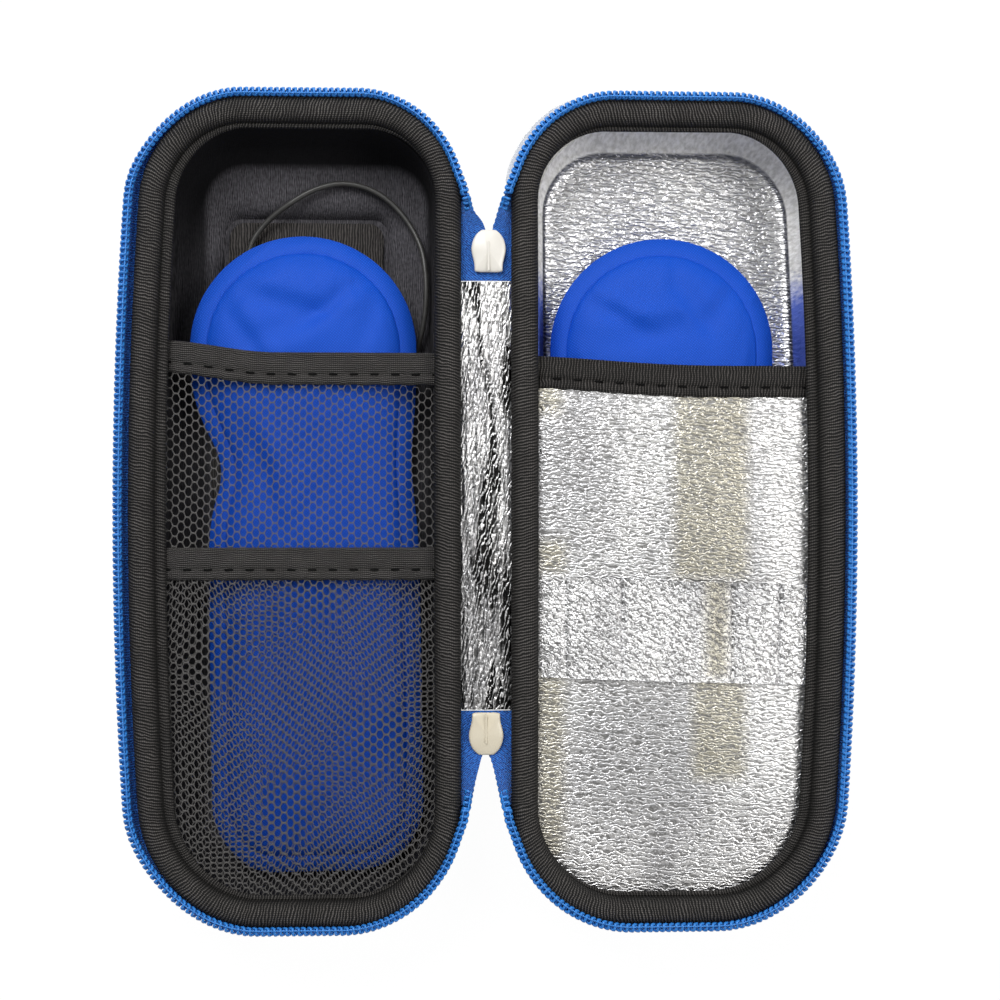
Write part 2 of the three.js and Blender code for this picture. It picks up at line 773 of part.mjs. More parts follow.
function sliderGeometry() {
  const [half, reach] = [sliderWidth / 2, sliderLength / 2];
  const noseShare = sliderNose / sliderWidth;
  const heelShare = sliderHeel / sliderWidth;
  const widthShares = [noseShare * 0.8, noseShare, 0.73, 0.92, 1, 0.9, heelShare];
  const lengthShares = [1, 0.97, 0.78, 0.46, 0.08, -0.4, -1];
  const side = widthShares.map((share, i) => [half * share, reach * lengthShares[i]]);
  const points = [...side, ...side.map(([x, y]) => [-x, y]).reverse()];
  const domed = (foot, scaleShares) => {
    const heightShares = [0, 0.55, 1];
    const loops = scaleShares.map((scale, i) => points.map(([x, y]) => {
      return new THREE.Vector3(x * scale, y * scale, foot + sliderPlate * heightShares[i]);
    }));
    return toSolid(loft(loops));
  };
  const post = plate(new THREE.Shape([
    new THREE.Vector2(0, postPlace - postReach),
    new THREE.Vector2(postHalf, postPlace),
    new THREE.Vector2(0, postPlace + postReach),
    new THREE.Vector2(-postHalf, postPlace),
  ]), lowerPlateFoot + sliderPlate / 2, sliderThroat + sliderPlate);
  const ridge = new THREE.BoxGeometry(ridgeWidth, ridgeLength, sliderPlate);
  ridge.translate(0, ridgePlace, upperPlateFoot + sliderPlate - ridgeWidth);
  const drop = bridgeGap + bridgeBar + sliderPlate / 2;
  const bridge = new THREE.BoxGeometry(bridgeWidth, bridgeReach * 2, drop);
  bridge.translate(0, 0, lowerPlateFoot + (sliderPlate - drop) / 2);
  const eye = new THREE.BoxGeometry(bridgeWidth * 2, (bridgeReach - bridgeBar) * 2, bridgeGap);
  eye.translate(0, 0, lowerPlateFoot - bridgeGap / 2);
  const upper = domed(upperPlateFoot, [1, 1, 0.8]);
  const lower = domed(lowerPlateFoot, [0.8, 1, 1]);
  const saddle = toSolid(bridge).subtract(toSolid(eye));
  return toGeometry(upper.add(lower).add(toSolid(post)).add(toSolid(ridge)).add(saddle));
}

// A pull: two legs with a round crossbar that sits in the bridge, and a tapered tab hanging below them.
function pullGeometry() {
  const barRadius = bridgeBar / 2;
  const barSteps = 12;
  const shoulder = -pullEyeLength - pullEyeOuter;
  const tipTaperShare = 0.85;
  const tipShare = 0.5;
  const side = [
    new THREE.Vector2(-pullEyeInner, -pullEyeLength),
    new THREE.Vector2(-pullEyeInner, 0),
    new THREE.Vector2(-pullEyeOuter, 0),
    new THREE.Vector2(-pullEyeOuter, barRadius - pullEyeLength),
    new THREE.Vector2(-pullHalf, shoulder),
    new THREE.Vector2(-pullHalf * tipTaperShare, pullEyeOuter - pullLength),
    new THREE.Vector2(-pullHalf * tipShare, -pullLength),
  ];
  const shape = new THREE.Shape([...side, ...side.map((p) => new THREE.Vector2(-p.x, p.y)).reverse()]);
  const tab = new THREE.ExtrudeGeometry(shape, { depth: bridgeBar, bevelEnabled: false });
  tab.translate(0, 0, -barRadius).rotateX(Math.PI / 2);
  const bar = new THREE.CylinderGeometry(barRadius, barRadius, pullEyeOuter * 2, barSteps);
  return toGeometry(toSolid(tab).add(toSolid(bar.rotateZ(Math.PI / 2))));
}

// The cloth hinge: a creased foil strip inside, a plain cover outside, and a flap on each rim.
const spineReach = foldOffset - foldClearance;
const spineFoilTop = foldHeight - gap;

// A rectangle from one corner to the opposite one.
function rectangle(left, right, low, high) {
  return new THREE.Shape([
    new THREE.Vector2(left, low),
    new THREE.Vector2(right, low),
    new THREE.Vector2(right, high),
    new THREE.Vector2(left, high),
  ]);
}

function spineFoilGeometry() {
  const creases = 8;
  const top = [];
  for (let k = 0; k <= creases; k += 1) {
    const x = THREE.MathUtils.lerp(-spineReach, spineReach, k / creases);
    top.push(new THREE.Vector2(x, spineFoilTop - (k % 2 === 0 ? creaseDepth : 0)));
  }
  const foot = spineFoilTop - spineCloth;
  const base = [new THREE.Vector2(spineReach, foot), new THREE.Vector2(-spineReach, foot)];
  const shape = new THREE.Shape([...top, ...base]);
  const geometry = new THREE.ExtrudeGeometry(shape, { depth: spineTop - spineBottom, bevelEnabled: false });
  return geometry.rotateX(Math.PI / 2).translate(0, spineTop, 0);
}

function spineCoverGeometry() {
  const foot = spineFoilTop - spineCloth - gap - spineCloth;
  return plate(rectangle(-spineReach, spineReach, spineBottom, spineTop), foot, spineCloth);
}

function hingeFlapGeometry() {
  const inner = foldOffset + gap - spineHalfWidth;
  return plate(rectangle(inner, flapInset, spineBottom, spineTop), seamFoot, spineFoilTop - seamFoot);
}

// The joined ends of the two half zips: a strip that forks where the slider parts them.
function zipJoinGeometry(from, to, forkX, forkY) {
  const shape = new THREE.Shape([
    new THREE.Vector2(-spineReach, from),
    new THREE.Vector2(spineReach, from),
    new THREE.Vector2(spineReach, to),
    new THREE.Vector2(forkX, forkY),
    new THREE.Vector2(-spineReach, to),
  ]);
  return plate(shape, sliderMiddle - tapeThickness / 2, tapeThickness);
}

// Colours and finishes, taken from the photograph.
function material(color, roughness, metalness = 0) {
  return new THREE.MeshStandardMaterial({ color, roughness, metalness });
}

const finishes = {
  outerSkin: material(0xd9dbd8, 0.8),
  blackCloth: material(0x1c1b1d, 0.9),
  grosgrain: material(0x2d2b2a, 0.85),
  blueTape: material(0x1a5fd0, 0.8),
  blueCoil: material(0x1464c8, 0.5),
  net: material(0x2a2a2c, 0.85),
  packCloth: material(0x2257e0, 0.75),
  foil: material(0xc8c8c6, 0.25, 0.9),
  enamel: material(0xe9e6df, 0.35),
  rubber: material(0x141416, 0.5),
  steel: material(0xc4c6c8, 0.25, 1),
  moduleBody: material(0xe4e6e8, 0.45),
  window: material(0xbfc9c6, 0.1),
  liquidCrystal: material(0x9aa79c, 0.3),
  board: material(0x1f6a3c, 0.6),
};

function piece(name, geometry, finish) {
  const mesh = new THREE.Mesh(geometry, finishes[finish]);
  mesh.name = name;
  return mesh;
}

// Everything in one half's own frame; the front half is the mirror image of the back one.
const front = new THREE.Group();
front.scale.x = -1;
front.position.x = -spineHalfWidth;
const back = new THREE.Group();
back.position.x = spineHalfWidth;

for (const [half, side] of [[front, 'front'], [back, 'back']]) {
  half.add(piece(`${side}_binding`, bindingGeometry(), 'grosgrain'));
  half.add(piece(`${side}_zip_tape`, zipTapeGeometry(), 'blueTape'));
  half.add(piece(`${side}_zip_coil`, zipCoilGeometry(), 'blueCoil'));
  half.add(piece(`${side}_hinge_flap`, hingeFlapGeometry(), 'foil'));
}

front.add(piece('front_shell', frontShellGeometry(), 'outerSkin'));
front.add(piece('front_lining', frontLiningGeometry(), 'blackCloth'));
front.add(piece('recess_cloth', recessClothGeometry(), 'blackCloth'));
back.add(piece('back_shell', shellGeometry(), 'outerSkin'));
back.add(piece('back_foil_liner', liningGeometry(), 'foil'));

// The two net pockets, the shorter one over the taller one, each below its own band.
const tallLine = { at: tallMouth - bandWidth - gap, slopeShare: tallMouthSlopeShare };
const shortLine = { at: shortMouth - bandWidth - gap, slopeShare: 0 };
const shortFoot = seamFoot + netThickness + gap;
front.add(piece('tall_net_pocket', netGeometry(tallLine, seamFoot), 'net'));
front.add(piece('tall_pocket_band', mouthBandGeometry(tallMouth, tallMouthSlopeShare, seamFoot), 'blackCloth'));
front.add(piece('short_net_pocket', netGeometry(shortLine, shortFoot), 'net'));
front.add(piece('short_pocket_band', mouthBandGeometry(shortMouth, 0, shortFoot), 'blackCloth'));

back.add(piece('foil_pocket', foilPocketGeometry(), 'foil'));
back.add(piece('foil_pocket_band', mouthBandGeometry(foilMouth, foilMouthSlopeShare, seamFoot), 'blackCloth'));
back.add(piece('pen_loops', penLoopGeometry(), 'foil'));

// The gel packs, the front one a little askew as it lies.
const packPlaces = [[front, 'front', frontPackOffset, frontPackLean], [back, 'back', backPackOffset, 0]];
for (const [half, side, offset, lean] of packPlaces) {
  const pack = piece(`${side}_ice_pack`, packGeometry(), 'packCloth');
  pack.position.x = halfWidth / 2 + offset;
  pack.rotation.z = -lean;
  half.add(pack);
}

// The thermometer in its seat.
const boardFoot = innerFoot + crystalThickness + gap;
const cellFoot = boardFoot + boardThickness + gap;
const thermometer = new THREE.Group();
thermometer.position.set(moduleX, moduleY, 0);
front.add(thermometer);
thermometer.add(piece('thermometer_bezel', bezelGeometry(), 'moduleBody'));
thermometer.add(piece('thermometer_housing', housingGeometry(), 'moduleBody'));
thermometer.add(piece('mode_button', buttonGeometry().translate(buttonX, 0, 0), 'enamel'));

const windowPane = roundedPlate(windowWidth, windowDepth, moduleWall, bezelRecess + gap, bezelThickness - gap);
thermometer.add(piece('display_window', windowPane.translate(windowX, 0, 0), 'window'));

const crystal = roundedPlate(windowWidth, crystalDepth, gap, innerFoot, crystalThickness);
thermometer.add(piece('display_panel', crystal.translate(windowX, 0, 0), 'liquidCrystal'));

const innerWidth = moduleWidth - moduleWall * 2 - gap * 2;
const innerDepth = moduleDepth - moduleWall * 2 - gap * 2;
const board = roundedPlate(innerWidth, innerDepth, moduleWall, boardFoot, boardThickness);
thermometer.add(piece('circuit_board', board, 'board'));

const cell = turned([[0, 0], [cellRadius, 0], [cellRadius, cellThickness], [0, cellThickness]]);
thermometer.add(piece('coin_cell', cell.rotateX(Math.PI / 2).translate(windowX, 0, cellFoot), 'steel'));

const [coverWidth, coverDepth] = [moduleWidth - gap * 2, moduleDepth - gap * 2];
const cover = roundedPlate(coverWidth, coverDepth, moduleCorner, moduleTop + gap, coverThickness);
thermometer.add(piece('battery_cover', cover, 'moduleBody'));

const glandY = moduleY + moduleDepth / 2 + gap;
const gland = turned([
  [0, 0],
  [glandDiameter / 2, 0],
  [glandDiameter / 2, glandCollar],
  [glandTipDiameter / 2, glandLength],
  [0, glandLength],
]);
front.add(piece('lead_gland', gland.translate(leadX, glandY, leadRoute[0][2]), 'rubber'));

// The lead and its probe, in the whole case's frame.
const whole = new THREE.Group();
whole.add(front, back);
whole.add(piece('sensor_lead', leadGeometry(), 'rubber'));

const probeRadius = probeDiameter / 2;
const leadEnd = new THREE.Vector3(...leadRoute.at(-1));
const probeWay = probeTip.clone().sub(leadEnd).normalize();
const probeSides = 12;
const probeProfile = [
  [0, 0],
  [probeTipDiameter / 2, 0],
  [probeRadius, gap],
  [probeRadius, probeLength - probeRadius],
  [probeTipDiameter / 2, probeLength - gap],
  [0, probeLength],
];
const probe = piece('sensor_probe', turned(probeProfile, probeSides), 'steel');
probe.quaternion.setFromUnitVectors(new THREE.Vector3(0, 1, 0), probeWay);
probe.position.copy(leadEnd).addScaledVector(probeWay, gap);
whole.add(probe);

// The hinge strip between the two folds.
whole.add(piece('hinge_foil', spineFoilGeometry(), 'foil'));
whole.add(piece('hinge_cover', spineCoverGeometry(), 'outerSkin'));

const headEnd = halfLength / 2 - cornerRadiusTop - joinMargin;
const footEnd = cornerRadiusBottom - halfLength / 2 + joinMargin;
const topJoin = zipJoinGeometry(spineTop + gap, headEnd, sliderTopX, sliderTopY - forkBack);
const bottomJoin = zipJoinGeometry(spineBottom - gap, footEnd, 0, sliderBottomY + forkBack);
whole.add(piece('zip_join_top', topJoin, 'blueTape'));
whole.add(piece('zip_join_bottom', bottomJoin, 'blueTape'));

// Both sliders point their noses away from the hinge strip, and each pull hangs from its bridge.
const sliderPlaces = [['top', sliderTopX, sliderTopY, 0], ['bottom', 0, sliderBottomY, Math.PI]];
for (const [name, x, y, turn] of sliderPlaces) {
  const slider = piece(`slider_${name}`, sliderGeometry(), 'enamel');
  slider.position.set(x, y, 0);
  slider.rotation.z = turn;
  whole.add(slider);
  const pull = piece(`pull_${name}`, pullGeometry(), 'enamel');
  pull.position.set(x, y, pullPivot);
  whole.add(pull);
}

export default whole;
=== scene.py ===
# A cooling case for insulin pens, lying open on a pale floor and seen from straight above. Lengths are in
# millimetres in the row frame (+Z up) until a mesh is made. The netted half is at -X, the foil half at +X.
import math

import bpy
import numpy as np
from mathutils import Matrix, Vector


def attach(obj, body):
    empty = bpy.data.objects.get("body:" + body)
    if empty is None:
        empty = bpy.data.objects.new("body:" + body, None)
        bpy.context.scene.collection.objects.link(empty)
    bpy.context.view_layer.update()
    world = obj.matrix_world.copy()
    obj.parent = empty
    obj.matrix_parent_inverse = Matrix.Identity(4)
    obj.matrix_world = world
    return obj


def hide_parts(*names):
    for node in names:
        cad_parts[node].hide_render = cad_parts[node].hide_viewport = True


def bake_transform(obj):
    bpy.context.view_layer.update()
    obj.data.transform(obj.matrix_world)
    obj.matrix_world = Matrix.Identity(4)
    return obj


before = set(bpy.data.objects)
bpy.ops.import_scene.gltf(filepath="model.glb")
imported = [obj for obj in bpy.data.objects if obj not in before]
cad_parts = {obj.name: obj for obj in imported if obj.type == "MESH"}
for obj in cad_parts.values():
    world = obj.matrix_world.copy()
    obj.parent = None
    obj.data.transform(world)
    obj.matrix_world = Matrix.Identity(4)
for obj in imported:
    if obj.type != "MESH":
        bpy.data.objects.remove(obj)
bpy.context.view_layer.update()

# Camera, floor and light
# The photograph looks straight down at the case from about a third of a metre, on a white sweep. One soft
# light stands beyond its head and one at its right, and the foil mirrors a sky of bright and dim clouds.
CAMERA_PLACE = (-0.0108, 0.0028, 0.3833)
CAMERA_TILT = math.radians(-2.26)
FLOOR_REACH = 3
camera_data = bpy.data.cameras.new("camera")
camera_data.lens = 53.35
camera_data.sensor_width = 36
camera_data.clip_start = 0.01
camera = bpy.data.objects.new("camera", camera_data)
camera.location = CAMERA_PLACE
camera.rotation_euler = (0, CAMERA_TILT, 0)
bpy.context.scene.collection.objects.link(camera)
bpy.context.scene.camera = camera
bpy.context.scene.view_settings.view_transform = "Standard"


def node(tree, kind, sockets=None, **settings):
    """A shader node with its settings and sockets; a socket takes a value, an output or an Amount."""
    made = tree.nodes.new(kind)
    for key, value in settings.items():
        setattr(made, key, value)
    for key, value in (sockets or {}).items():
        value = getattr(value, "socket", value)
        if isinstance(value, bpy.types.NodeSocket):
            tree.links.new(value, made.inputs[key])
        else:
            made.inputs[key].default_value = value
    return made


studio = bpy.data.worlds.new("studio")
studio.use_nodes = True
bpy.context.scene.world = studio
sky = studio.node_tree
ray = node(sky, "ShaderNodeLightPath").outputs
direction = node(sky, "ShaderNodeTexCoord").outputs["Generated"]
clouds = node(sky, "ShaderNodeTexNoise", {"Vector": direction, "Scale": 1.6, "Detail": 1.0})
ramp = node(sky, "ShaderNodeValToRGB", {"Fac": clouds.outputs["Fac"]})
for stop, place, tone in zip(ramp.color_ramp.elements, (0.42, 0.58), ((0.3, 0.29, 0.27), (0.95, 0.95, 0.95))):
    stop.position = place
    stop.color = (*tone, 1)
plain = node(sky, "ShaderNodeBackground", {"Color": (0.93, 0.95, 1, 1), "Strength": 0.3})
mirrored = node(sky, "ShaderNodeBackground", {"Color": ramp.outputs["Color"], "Strength": 1.0})
seen = node(sky, "ShaderNodeBackground", {"Color": (1, 1, 1, 1), "Strength": 1.0})
lit = node(sky, "ShaderNodeMixShader", {0: ray["Is Glossy Ray"], 1: plain.outputs[0], 2: mirrored.outputs[0]})
shown = node(sky, "ShaderNodeMixShader", {0: ray["Is Camera Ray"], 1: lit.outputs[0], 2: seen.outputs[0]})
sky.links.new(shown.outputs[0], sky.nodes["World Output"].inputs["Surface"])
sky.nodes.remove(sky.nodes["Background"])


def area_light(name, place, size, power, color=(1, 1, 1)):
    """A round light that faces the origin."""
    data = bpy.data.lights.new(name, "AREA")
    data.shape = "DISK"
    data.size = size
    data.energy = power
    data.color = color
    light = bpy.data.objects.new(name, data)
    light.location = place
    light.rotation_mode = "QUATERNION"
    light.rotation_quaternion = (-Vector(place)).to_track_quat("-Z", "Y")
    bpy.context.scene.collection.objects.link(light)


area_light("softbox", (-0.25, 0.5, 0.65), 0.5, 5.6)
area_light("window", (0.55, 0.1, 0.6), 0.45, 2.6, (1, 0.98, 0.95))

corners = [(x * FLOOR_REACH, y * FLOOR_REACH, 0) for x, y in ((-1, -1), (1, -1), (1, 1), (-1, 1))]
floor_mesh = bpy.data.meshes.new("floor")
floor_mesh.from_pydata(corners, [], [(0, 1, 2, 3)])
floor = bpy.data.objects.new("floor", floor_mesh)
bpy.context.scene.collection.objects.link(floor)
floor_finish = bpy.data.materials.new("floor")
floor_finish.use_nodes = True
tree = floor_finish.node_tree
paper = tree.nodes["Principled BSDF"]
paper.inputs["Base Color"].default_value = (0.88, 0.88, 0.88, 1)
paper.inputs["Roughness"].default_value = 0.9
glow = node(tree, "ShaderNodeEmission", {"Color": (1, 1, 1, 1), "Strength": 1.03})
ray = node(tree, "ShaderNodeLightPath").outputs
share = node(tree, "ShaderNodeMath", {0: ray["Is Camera Ray"], 1: 0.94}, operation="MULTIPLY")
sweep = node(tree, "ShaderNodeMixShader", {0: share.outputs[0], 1: paper.outputs[0], 2: glow.outputs[0]})
tree.links.new(sweep.outputs[0], tree.nodes["Material Output"].inputs["Surface"])
floor_mesh.materials.append(floor_finish)

# Sensor lead and probe
# A thin black cable with a steel probe. It leaves the thermometer under the cloth, bows over the step at
# the head of the tray, and runs down beside the pack and under its edge to the probe.
MM = 0.001
LEAD_DIAMETER = 1.4
LEAD_ROUTE = np.array([
    (-56, 25.5, 6.45), (-56, 28.5, 6.5), (-56.3, 32.5, 7), (-57, 38, 7.3), (-58.3, 47, 7.3), (-59.3, 56, 7.3),
    (-58.9, 66.6, 7.5), (-54.8, 72.6, 8.3), (-48.5, 77.2, 10.3), (-42.2, 80.6, 10.8), (-36.3, 82, 10.8),
    (-31, 81.4, 10.8), (-26, 79.2, 10.8), (-21.4, 75.2, 10.9), (-17.9, 70.2, 11.4), (-15.7, 64.9, 12.6),
    (-14.8, 59.3, 13.7), (-14.6, 53.3, 14), (-15.2, 47.2, 13.2), (-16.8, 40.5, 11.6), (-18.6, 32.5, 10.3),
    (-19.8, 23, 10.1), (-20.2, 12, 10.1), (-20.3, 0, 10.1), (-20.2, -14, 10.1), (-20, -30, 10.1),
    (-19.6, -45, 10.1), (-19.2, -57, 10.2), (-19, -64.5, 10.5), (-19.1, -69, 10.8),
]) * MM


def smooth(points, steps, closed=False):
    """A Catmull-Rom curve through points, its knots spaced by the square root of each chord. A span of it
    has as many points as there are steps."""
    p = np.asarray(points, float)
    p = np.vstack([p[-1], p, p[0], p[1]]) if closed else np.vstack([2 * p[0] - p[1], p, 2 * p[-1] - p[-2]])
    curve = []
    for a, b, c, d in zip(p[:-3], p[1:-2], p[2:-1], p[3:]):
        t = np.cumsum([0] + [max(np.linalg.norm(v), 1e-9) ** 0.5 for v in (b - a, c - b, d - c)])
        for s in np.linspace(t[1], t[2], steps, endpoint=False):
            ab = (a * (t[1] - s) + b * (s - t[0])) / (t[1] - t[0])
            bc = (b * (t[2] - s) + c * (s - t[1])) / (t[2] - t[1])
            cd = (c * (t[3] - s) + d * (s - t[2])) / (t[3] - t[2])
            abc = (ab * (t[2] - s) + bc * (s - t[0])) / (t[2] - t[0])
            bcd = (bc * (t[3] - s) + cd * (s - t[1])) / (t[3] - t[1])
            curve.append((abc * (t[2] - s) + bcd * (s - t[1])) / (t[2] - t[1]))
    return np.array(curve if closed else curve + [p[-2]])


class Amount:
    """A number that a shader works out at each point. Sums and products of it add maths nodes to its tree."""

    def __init__(self, socket):
        self.socket = socket

    def maths(self, operation, other=0.0):
        made = node(self.socket.id_data, "ShaderNodeMath", {0: self, 1: other}, operation=operation)
        return Amount(made.outputs[0])

    def __add__(self, other):
        return self.maths("ADD", other)

    def __sub__(self, other):
        return self.maths("SUBTRACT", other)

    def __mul__(self, other):
        return self.maths("MULTIPLY", other)

    def __truediv__(self, other):
        return self.maths("DIVIDE", other)

    def __pow__(self, other):
        return self.maths("POWER", other)

    def __abs__(self):
        return self.maths("ABSOLUTE")

    def sine(self, pitch):
        """Swings between -1 and 1, once in each pitch."""
        return (self * (2 * math.pi / pitch)).maths("SINE")

    def spread(self, start, end, first=0.0, last=1.0):
        """Runs from a first value at the start to a last one at the end, and stays at them beyond."""
        ends = {"Value": self, "From Min": start, "From Max": end, "To Min": first, "To Max": last}
        return Amount(node(self.socket.id_data, "ShaderNodeMapRange", ends).outputs[0])


def finish_of(name, color, roughness, metallic=0.0, **sockets):
    """A material and its principled shader."""
    made = bpy.data.materials.new(name)
    made.use_nodes = True
    shader = made.node_tree.nodes["Principled BSDF"]
    shader.inputs["Base Color"].default_value = (*color, 1)
    shader.inputs["Roughness"].default_value = roughness
    shader.inputs["Metallic"].default_value = metallic
    for key, value in sockets.items():
        shader.inputs[key.replace("_", " ")].default_value = value
    return made, shader


def place_of(shader):
    """The place of a point on the piece, in metres."""
    return node(shader.id_data, "ShaderNodeTexCoord").outputs["Object"]


def feed(shader, name, value):
    """The shader takes a socket's value from an Amount or from a colour."""
    shader.id_data.links.new(getattr(value, "socket", value), shader.inputs[name])


def relief(shader, height, depth, strength=1.0):
    """Bumps the shader by a height from 0 to 1, of a depth in millimetres."""
    sockets = {"Height": height, "Distance": depth * MM, "Strength": strength}
    feed(shader, "Normal", node(shader.id_data, "ShaderNodeBump", sockets).outputs[0])


def axes_of(vector):
    """The parts of a vector along X, Y and Z, each an Amount."""
    return [Amount(part) for part in node(vector.id_data, "ShaderNodeSeparateXYZ", {0: vector}).outputs]


def noise_of(vector, scale, detail=2.0, stretch=None, distortion=0.0):
    """Noise from 0 to 1 whose grains are about 1/scale metres across. A stretch below 1 draws them out."""
    tree = vector.id_data
    if stretch is not None:
        vector = node(tree, "ShaderNodeMapping", {"Vector": vector, "Scale": stretch}).outputs[0]
    sockets = {"Vector": vector, "Scale": scale, "Detail": detail, "Distortion": distortion}
    return Amount(node(tree, "ShaderNodeTexNoise", sockets).outputs["Fac"])


def threads_of(vector, scale, direction, **sockets):
    """Straight threads that lie across a direction, from 0 between them to 1 on them."""
    sockets = {"Vector": vector, "Scale": scale} | {key.replace("_", " "): sockets[key] for key in sockets}
    waves = node(vector.id_data, "ShaderNodeTexWave", sockets, bands_direction=direction)
    return Amount(waves.outputs["Fac"])


def blend_of(share, a, b):
    """A colour that goes from a to b as the share goes from 0 to 1."""
    sockets = {0: share, 6: a, 7: b}
    for key in (6, 7):
        if isinstance(sockets[key], tuple):
            sockets[key] = (*sockets[key], 1)
    return node(share.socket.id_data, "ShaderNodeMix", sockets, data_type="RGBA").outputs[2]


def paint(shader, share, a, b):
    """Colours the shader from a to b by a share."""
    feed(shader, "Base Color", blend_of(share, a, b))


lead_finish, shader = finish_of("lead_sheath", (0.02, 0.02, 0.02), 0.42)
grain = noise_of(place_of(shader), 900)
relief(shader, grain, 0.03)
paint(shader, grain, (0.022, 0.022, 0.021), (0.052, 0.051, 0.049))

lead_line = smooth(LEAD_ROUTE, 8)
lead_curve = bpy.data.curves.new("sensor_lead_cable", "CURVE")
lead_curve.dimensions = "3D"
lead_curve.bevel_depth = LEAD_DIAMETER / 2 * MM
lead_curve.bevel_resolution = 4
lead_curve.use_fill_caps = True
spline = lead_curve.splines.new("POLY")
spline.points.add(len(lead_line) - 1)
spline.points.foreach_set("co", np.column_stack([lead_line, np.ones(len(lead_line))]).ravel())
spline.use_smooth = True
lead = bpy.data.objects.new("sensor_lead_cable", lead_curve)
bpy.context.scene.collection.objects.link(lead)
lead_curve.materials.append(lead_finish)
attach(lead, "front_case")
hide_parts("sensor_lead")


def dress(names, finish, bevel=0.0):
    """Gives carried-over solids their material, and softens their edges by a bevel in millimetres."""
    for name in names:
        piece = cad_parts[name]
        piece.data.materials.clear()
        piece.data.materials.append(finish)
        if bevel:
            modifier = piece.modifiers.new("edges", "BEVEL")
            modifier.width = bevel * MM
            modifier.segments = 2
            modifier.limit_method = "ANGLE"


steel_finish, shader = finish_of("steel", (0.6, 0.6, 0.61), 0.28, 1.0)
brushing = noise_of(place_of(shader), 1500, 3.0, (1, 0.1, 1))
relief(shader, brushing, 0.01)
paint(shader, brushing, (0.5, 0.5, 0.51), (0.7, 0.7, 0.7))
dress(["sensor_probe", "coin_cell"], steel_finish, 0.15)
dress(["lead_gland"], lead_finish, 0.12)

# Moulded halves
# Two foam trays skinned with pale woven cloth, each with a raised outer panel and a flange under the zip.
# The front one has the thermometer let into its panel.
HALF_WIDTH = 80
HALF_LENGTH = 200
CORNER_TOP, CORNER_BOTTOM, SMALLEST_CORNER = 25, 29, 4
CORNER_STEPS, END_STEPS, FAR_STEPS, HINGE_STEPS = 14, 18, 60, 44
SIDE_BOW = 4.5
SPINE_HALF = 6
BACK_STRETCH = 1.024
RIM = 21.7
WALL = 3.9
PANEL_RISE = 4
PANEL_INSET = 19
PANEL_END = 7
WALL_INSET = 1.9
FAR_FLARE, END_FLARE, HINGE_FLARE = 4.2, 1.6, 2.2


def outline(inset, end_inset=None):
    """One half's rounded plan in its own frame: x from the hinge side, anticlockwise from the foot of that
    side. Its far side bows out by a parabola."""
    end_inset = inset if end_inset is None else end_inset
    left, right = inset, HALF_WIDTH - inset
    low, high = end_inset - HALF_LENGTH / 2, HALF_LENGTH / 2 - end_inset
    top = max(CORNER_TOP - (inset + end_inset) / 2, SMALLEST_CORNER)
    bottom = max(CORNER_BOTTOM - (inset + end_inset) / 2, SMALLEST_CORNER)
    corners = [(left + bottom, low + bottom, bottom), (right - bottom, low + bottom, bottom),
               (right - top, high - top, top), (left + top, high - top, top)]
    arcs = []
    for turn, (x, y, radius) in enumerate(corners):
        angle = math.pi + (turn + np.arange(CORNER_STEPS + 1) / CORNER_STEPS) * math.pi / 2
        arcs.append(np.column_stack([x + radius * np.cos(angle), y + radius * np.sin(angle)]))
    points = []
    for arc, after, steps in zip(arcs, arcs[1:] + arcs[:1], (END_STEPS, FAR_STEPS, END_STEPS, HINGE_STEPS)):
        share = np.arange(1, steps)[:, None] / steps
        points += [arc, arc[-1] * (1 - share) + after[0] * share]
    plan = np.vstack(points)
    plan[:, 0] *= 1 - SIDE_BOW / HALF_WIDTH * (plan[:, 1] / (HALF_LENGTH / 2)) ** 2
    return plan


RIM_LINE = outline(0)
OUTWARD = outline(-0.3) - RIM_LINE
OUTWARD /= np.linalg.norm(OUTWARD, axis=1)[:, None]
FLANGE_FLARE = np.where(OUTWARD[:, 0] > 0, END_FLARE + (FAR_FLARE - END_FLARE) * np.abs(OUTWARD[:, 0]) ** 6,
                        END_FLARE + END_FLARE * OUTWARD[:, 0])


def lifted(plan, z):
    """A plan's points at a height, or each at a height of its own."""
    return np.column_stack([plan, np.broadcast_to(z, len(plan))])


def loop_at(inset, z, end_share=0.0, flare_share=0.0):
    """A loop round the half at a height. The end share widens the inset at the two ends of the case, and
    the flare share pushes the loop out as far as the flange goes."""
    plan = outline(inset, inset + PANEL_END * end_share) + OUTWARD * (FLANGE_FLARE * flare_share)[:, None]
    return lifted(plan, z)


def lofted(loops, ring=False):
    """A part: points, faces and face-corner UVs, all in millimetres, through loops of equally many points.
    U runs along a loop and V across them. In a ring the last loop joins the first; otherwise one face
    closes each end."""
    grid = np.array(loops, float)
    rows, columns = grid.shape[:2]
    along = np.append(grid, grid[:, :1], 1)
    u = np.hstack([np.zeros((rows, 1)), np.linalg.norm(np.diff(along, axis=1), axis=2).cumsum(1)])
    u[:] = u[rows // 2]
    across = np.append(grid, grid[:1], 0) if ring else grid
    v = np.vstack([np.zeros((1, columns)), np.linalg.norm(np.diff(across, axis=0), axis=2).cumsum(0)])
    v = np.hstack([v, v[:, :1]])
    faces, uvs = [], []
    for i in range(rows if ring else rows - 1):
        for k in range(columns):
            corners = ((i, k), (i, k + 1), (i + 1, k + 1), (i + 1, k))
            faces.append([(a % rows) * columns + b % columns for a, b in corners])
            uvs += [(u[a % rows, b], v[a, b]) for a, b in corners]
    if not ring:
        for row, order in ((0, range(columns - 1, -1, -1)), (rows - 1, range(columns))):
            faces.append([row * columns + k for k in order])
            uvs += [tuple(grid[row, k, :2]) for k in order]
    return grid.reshape(-1, 3), faces, uvs


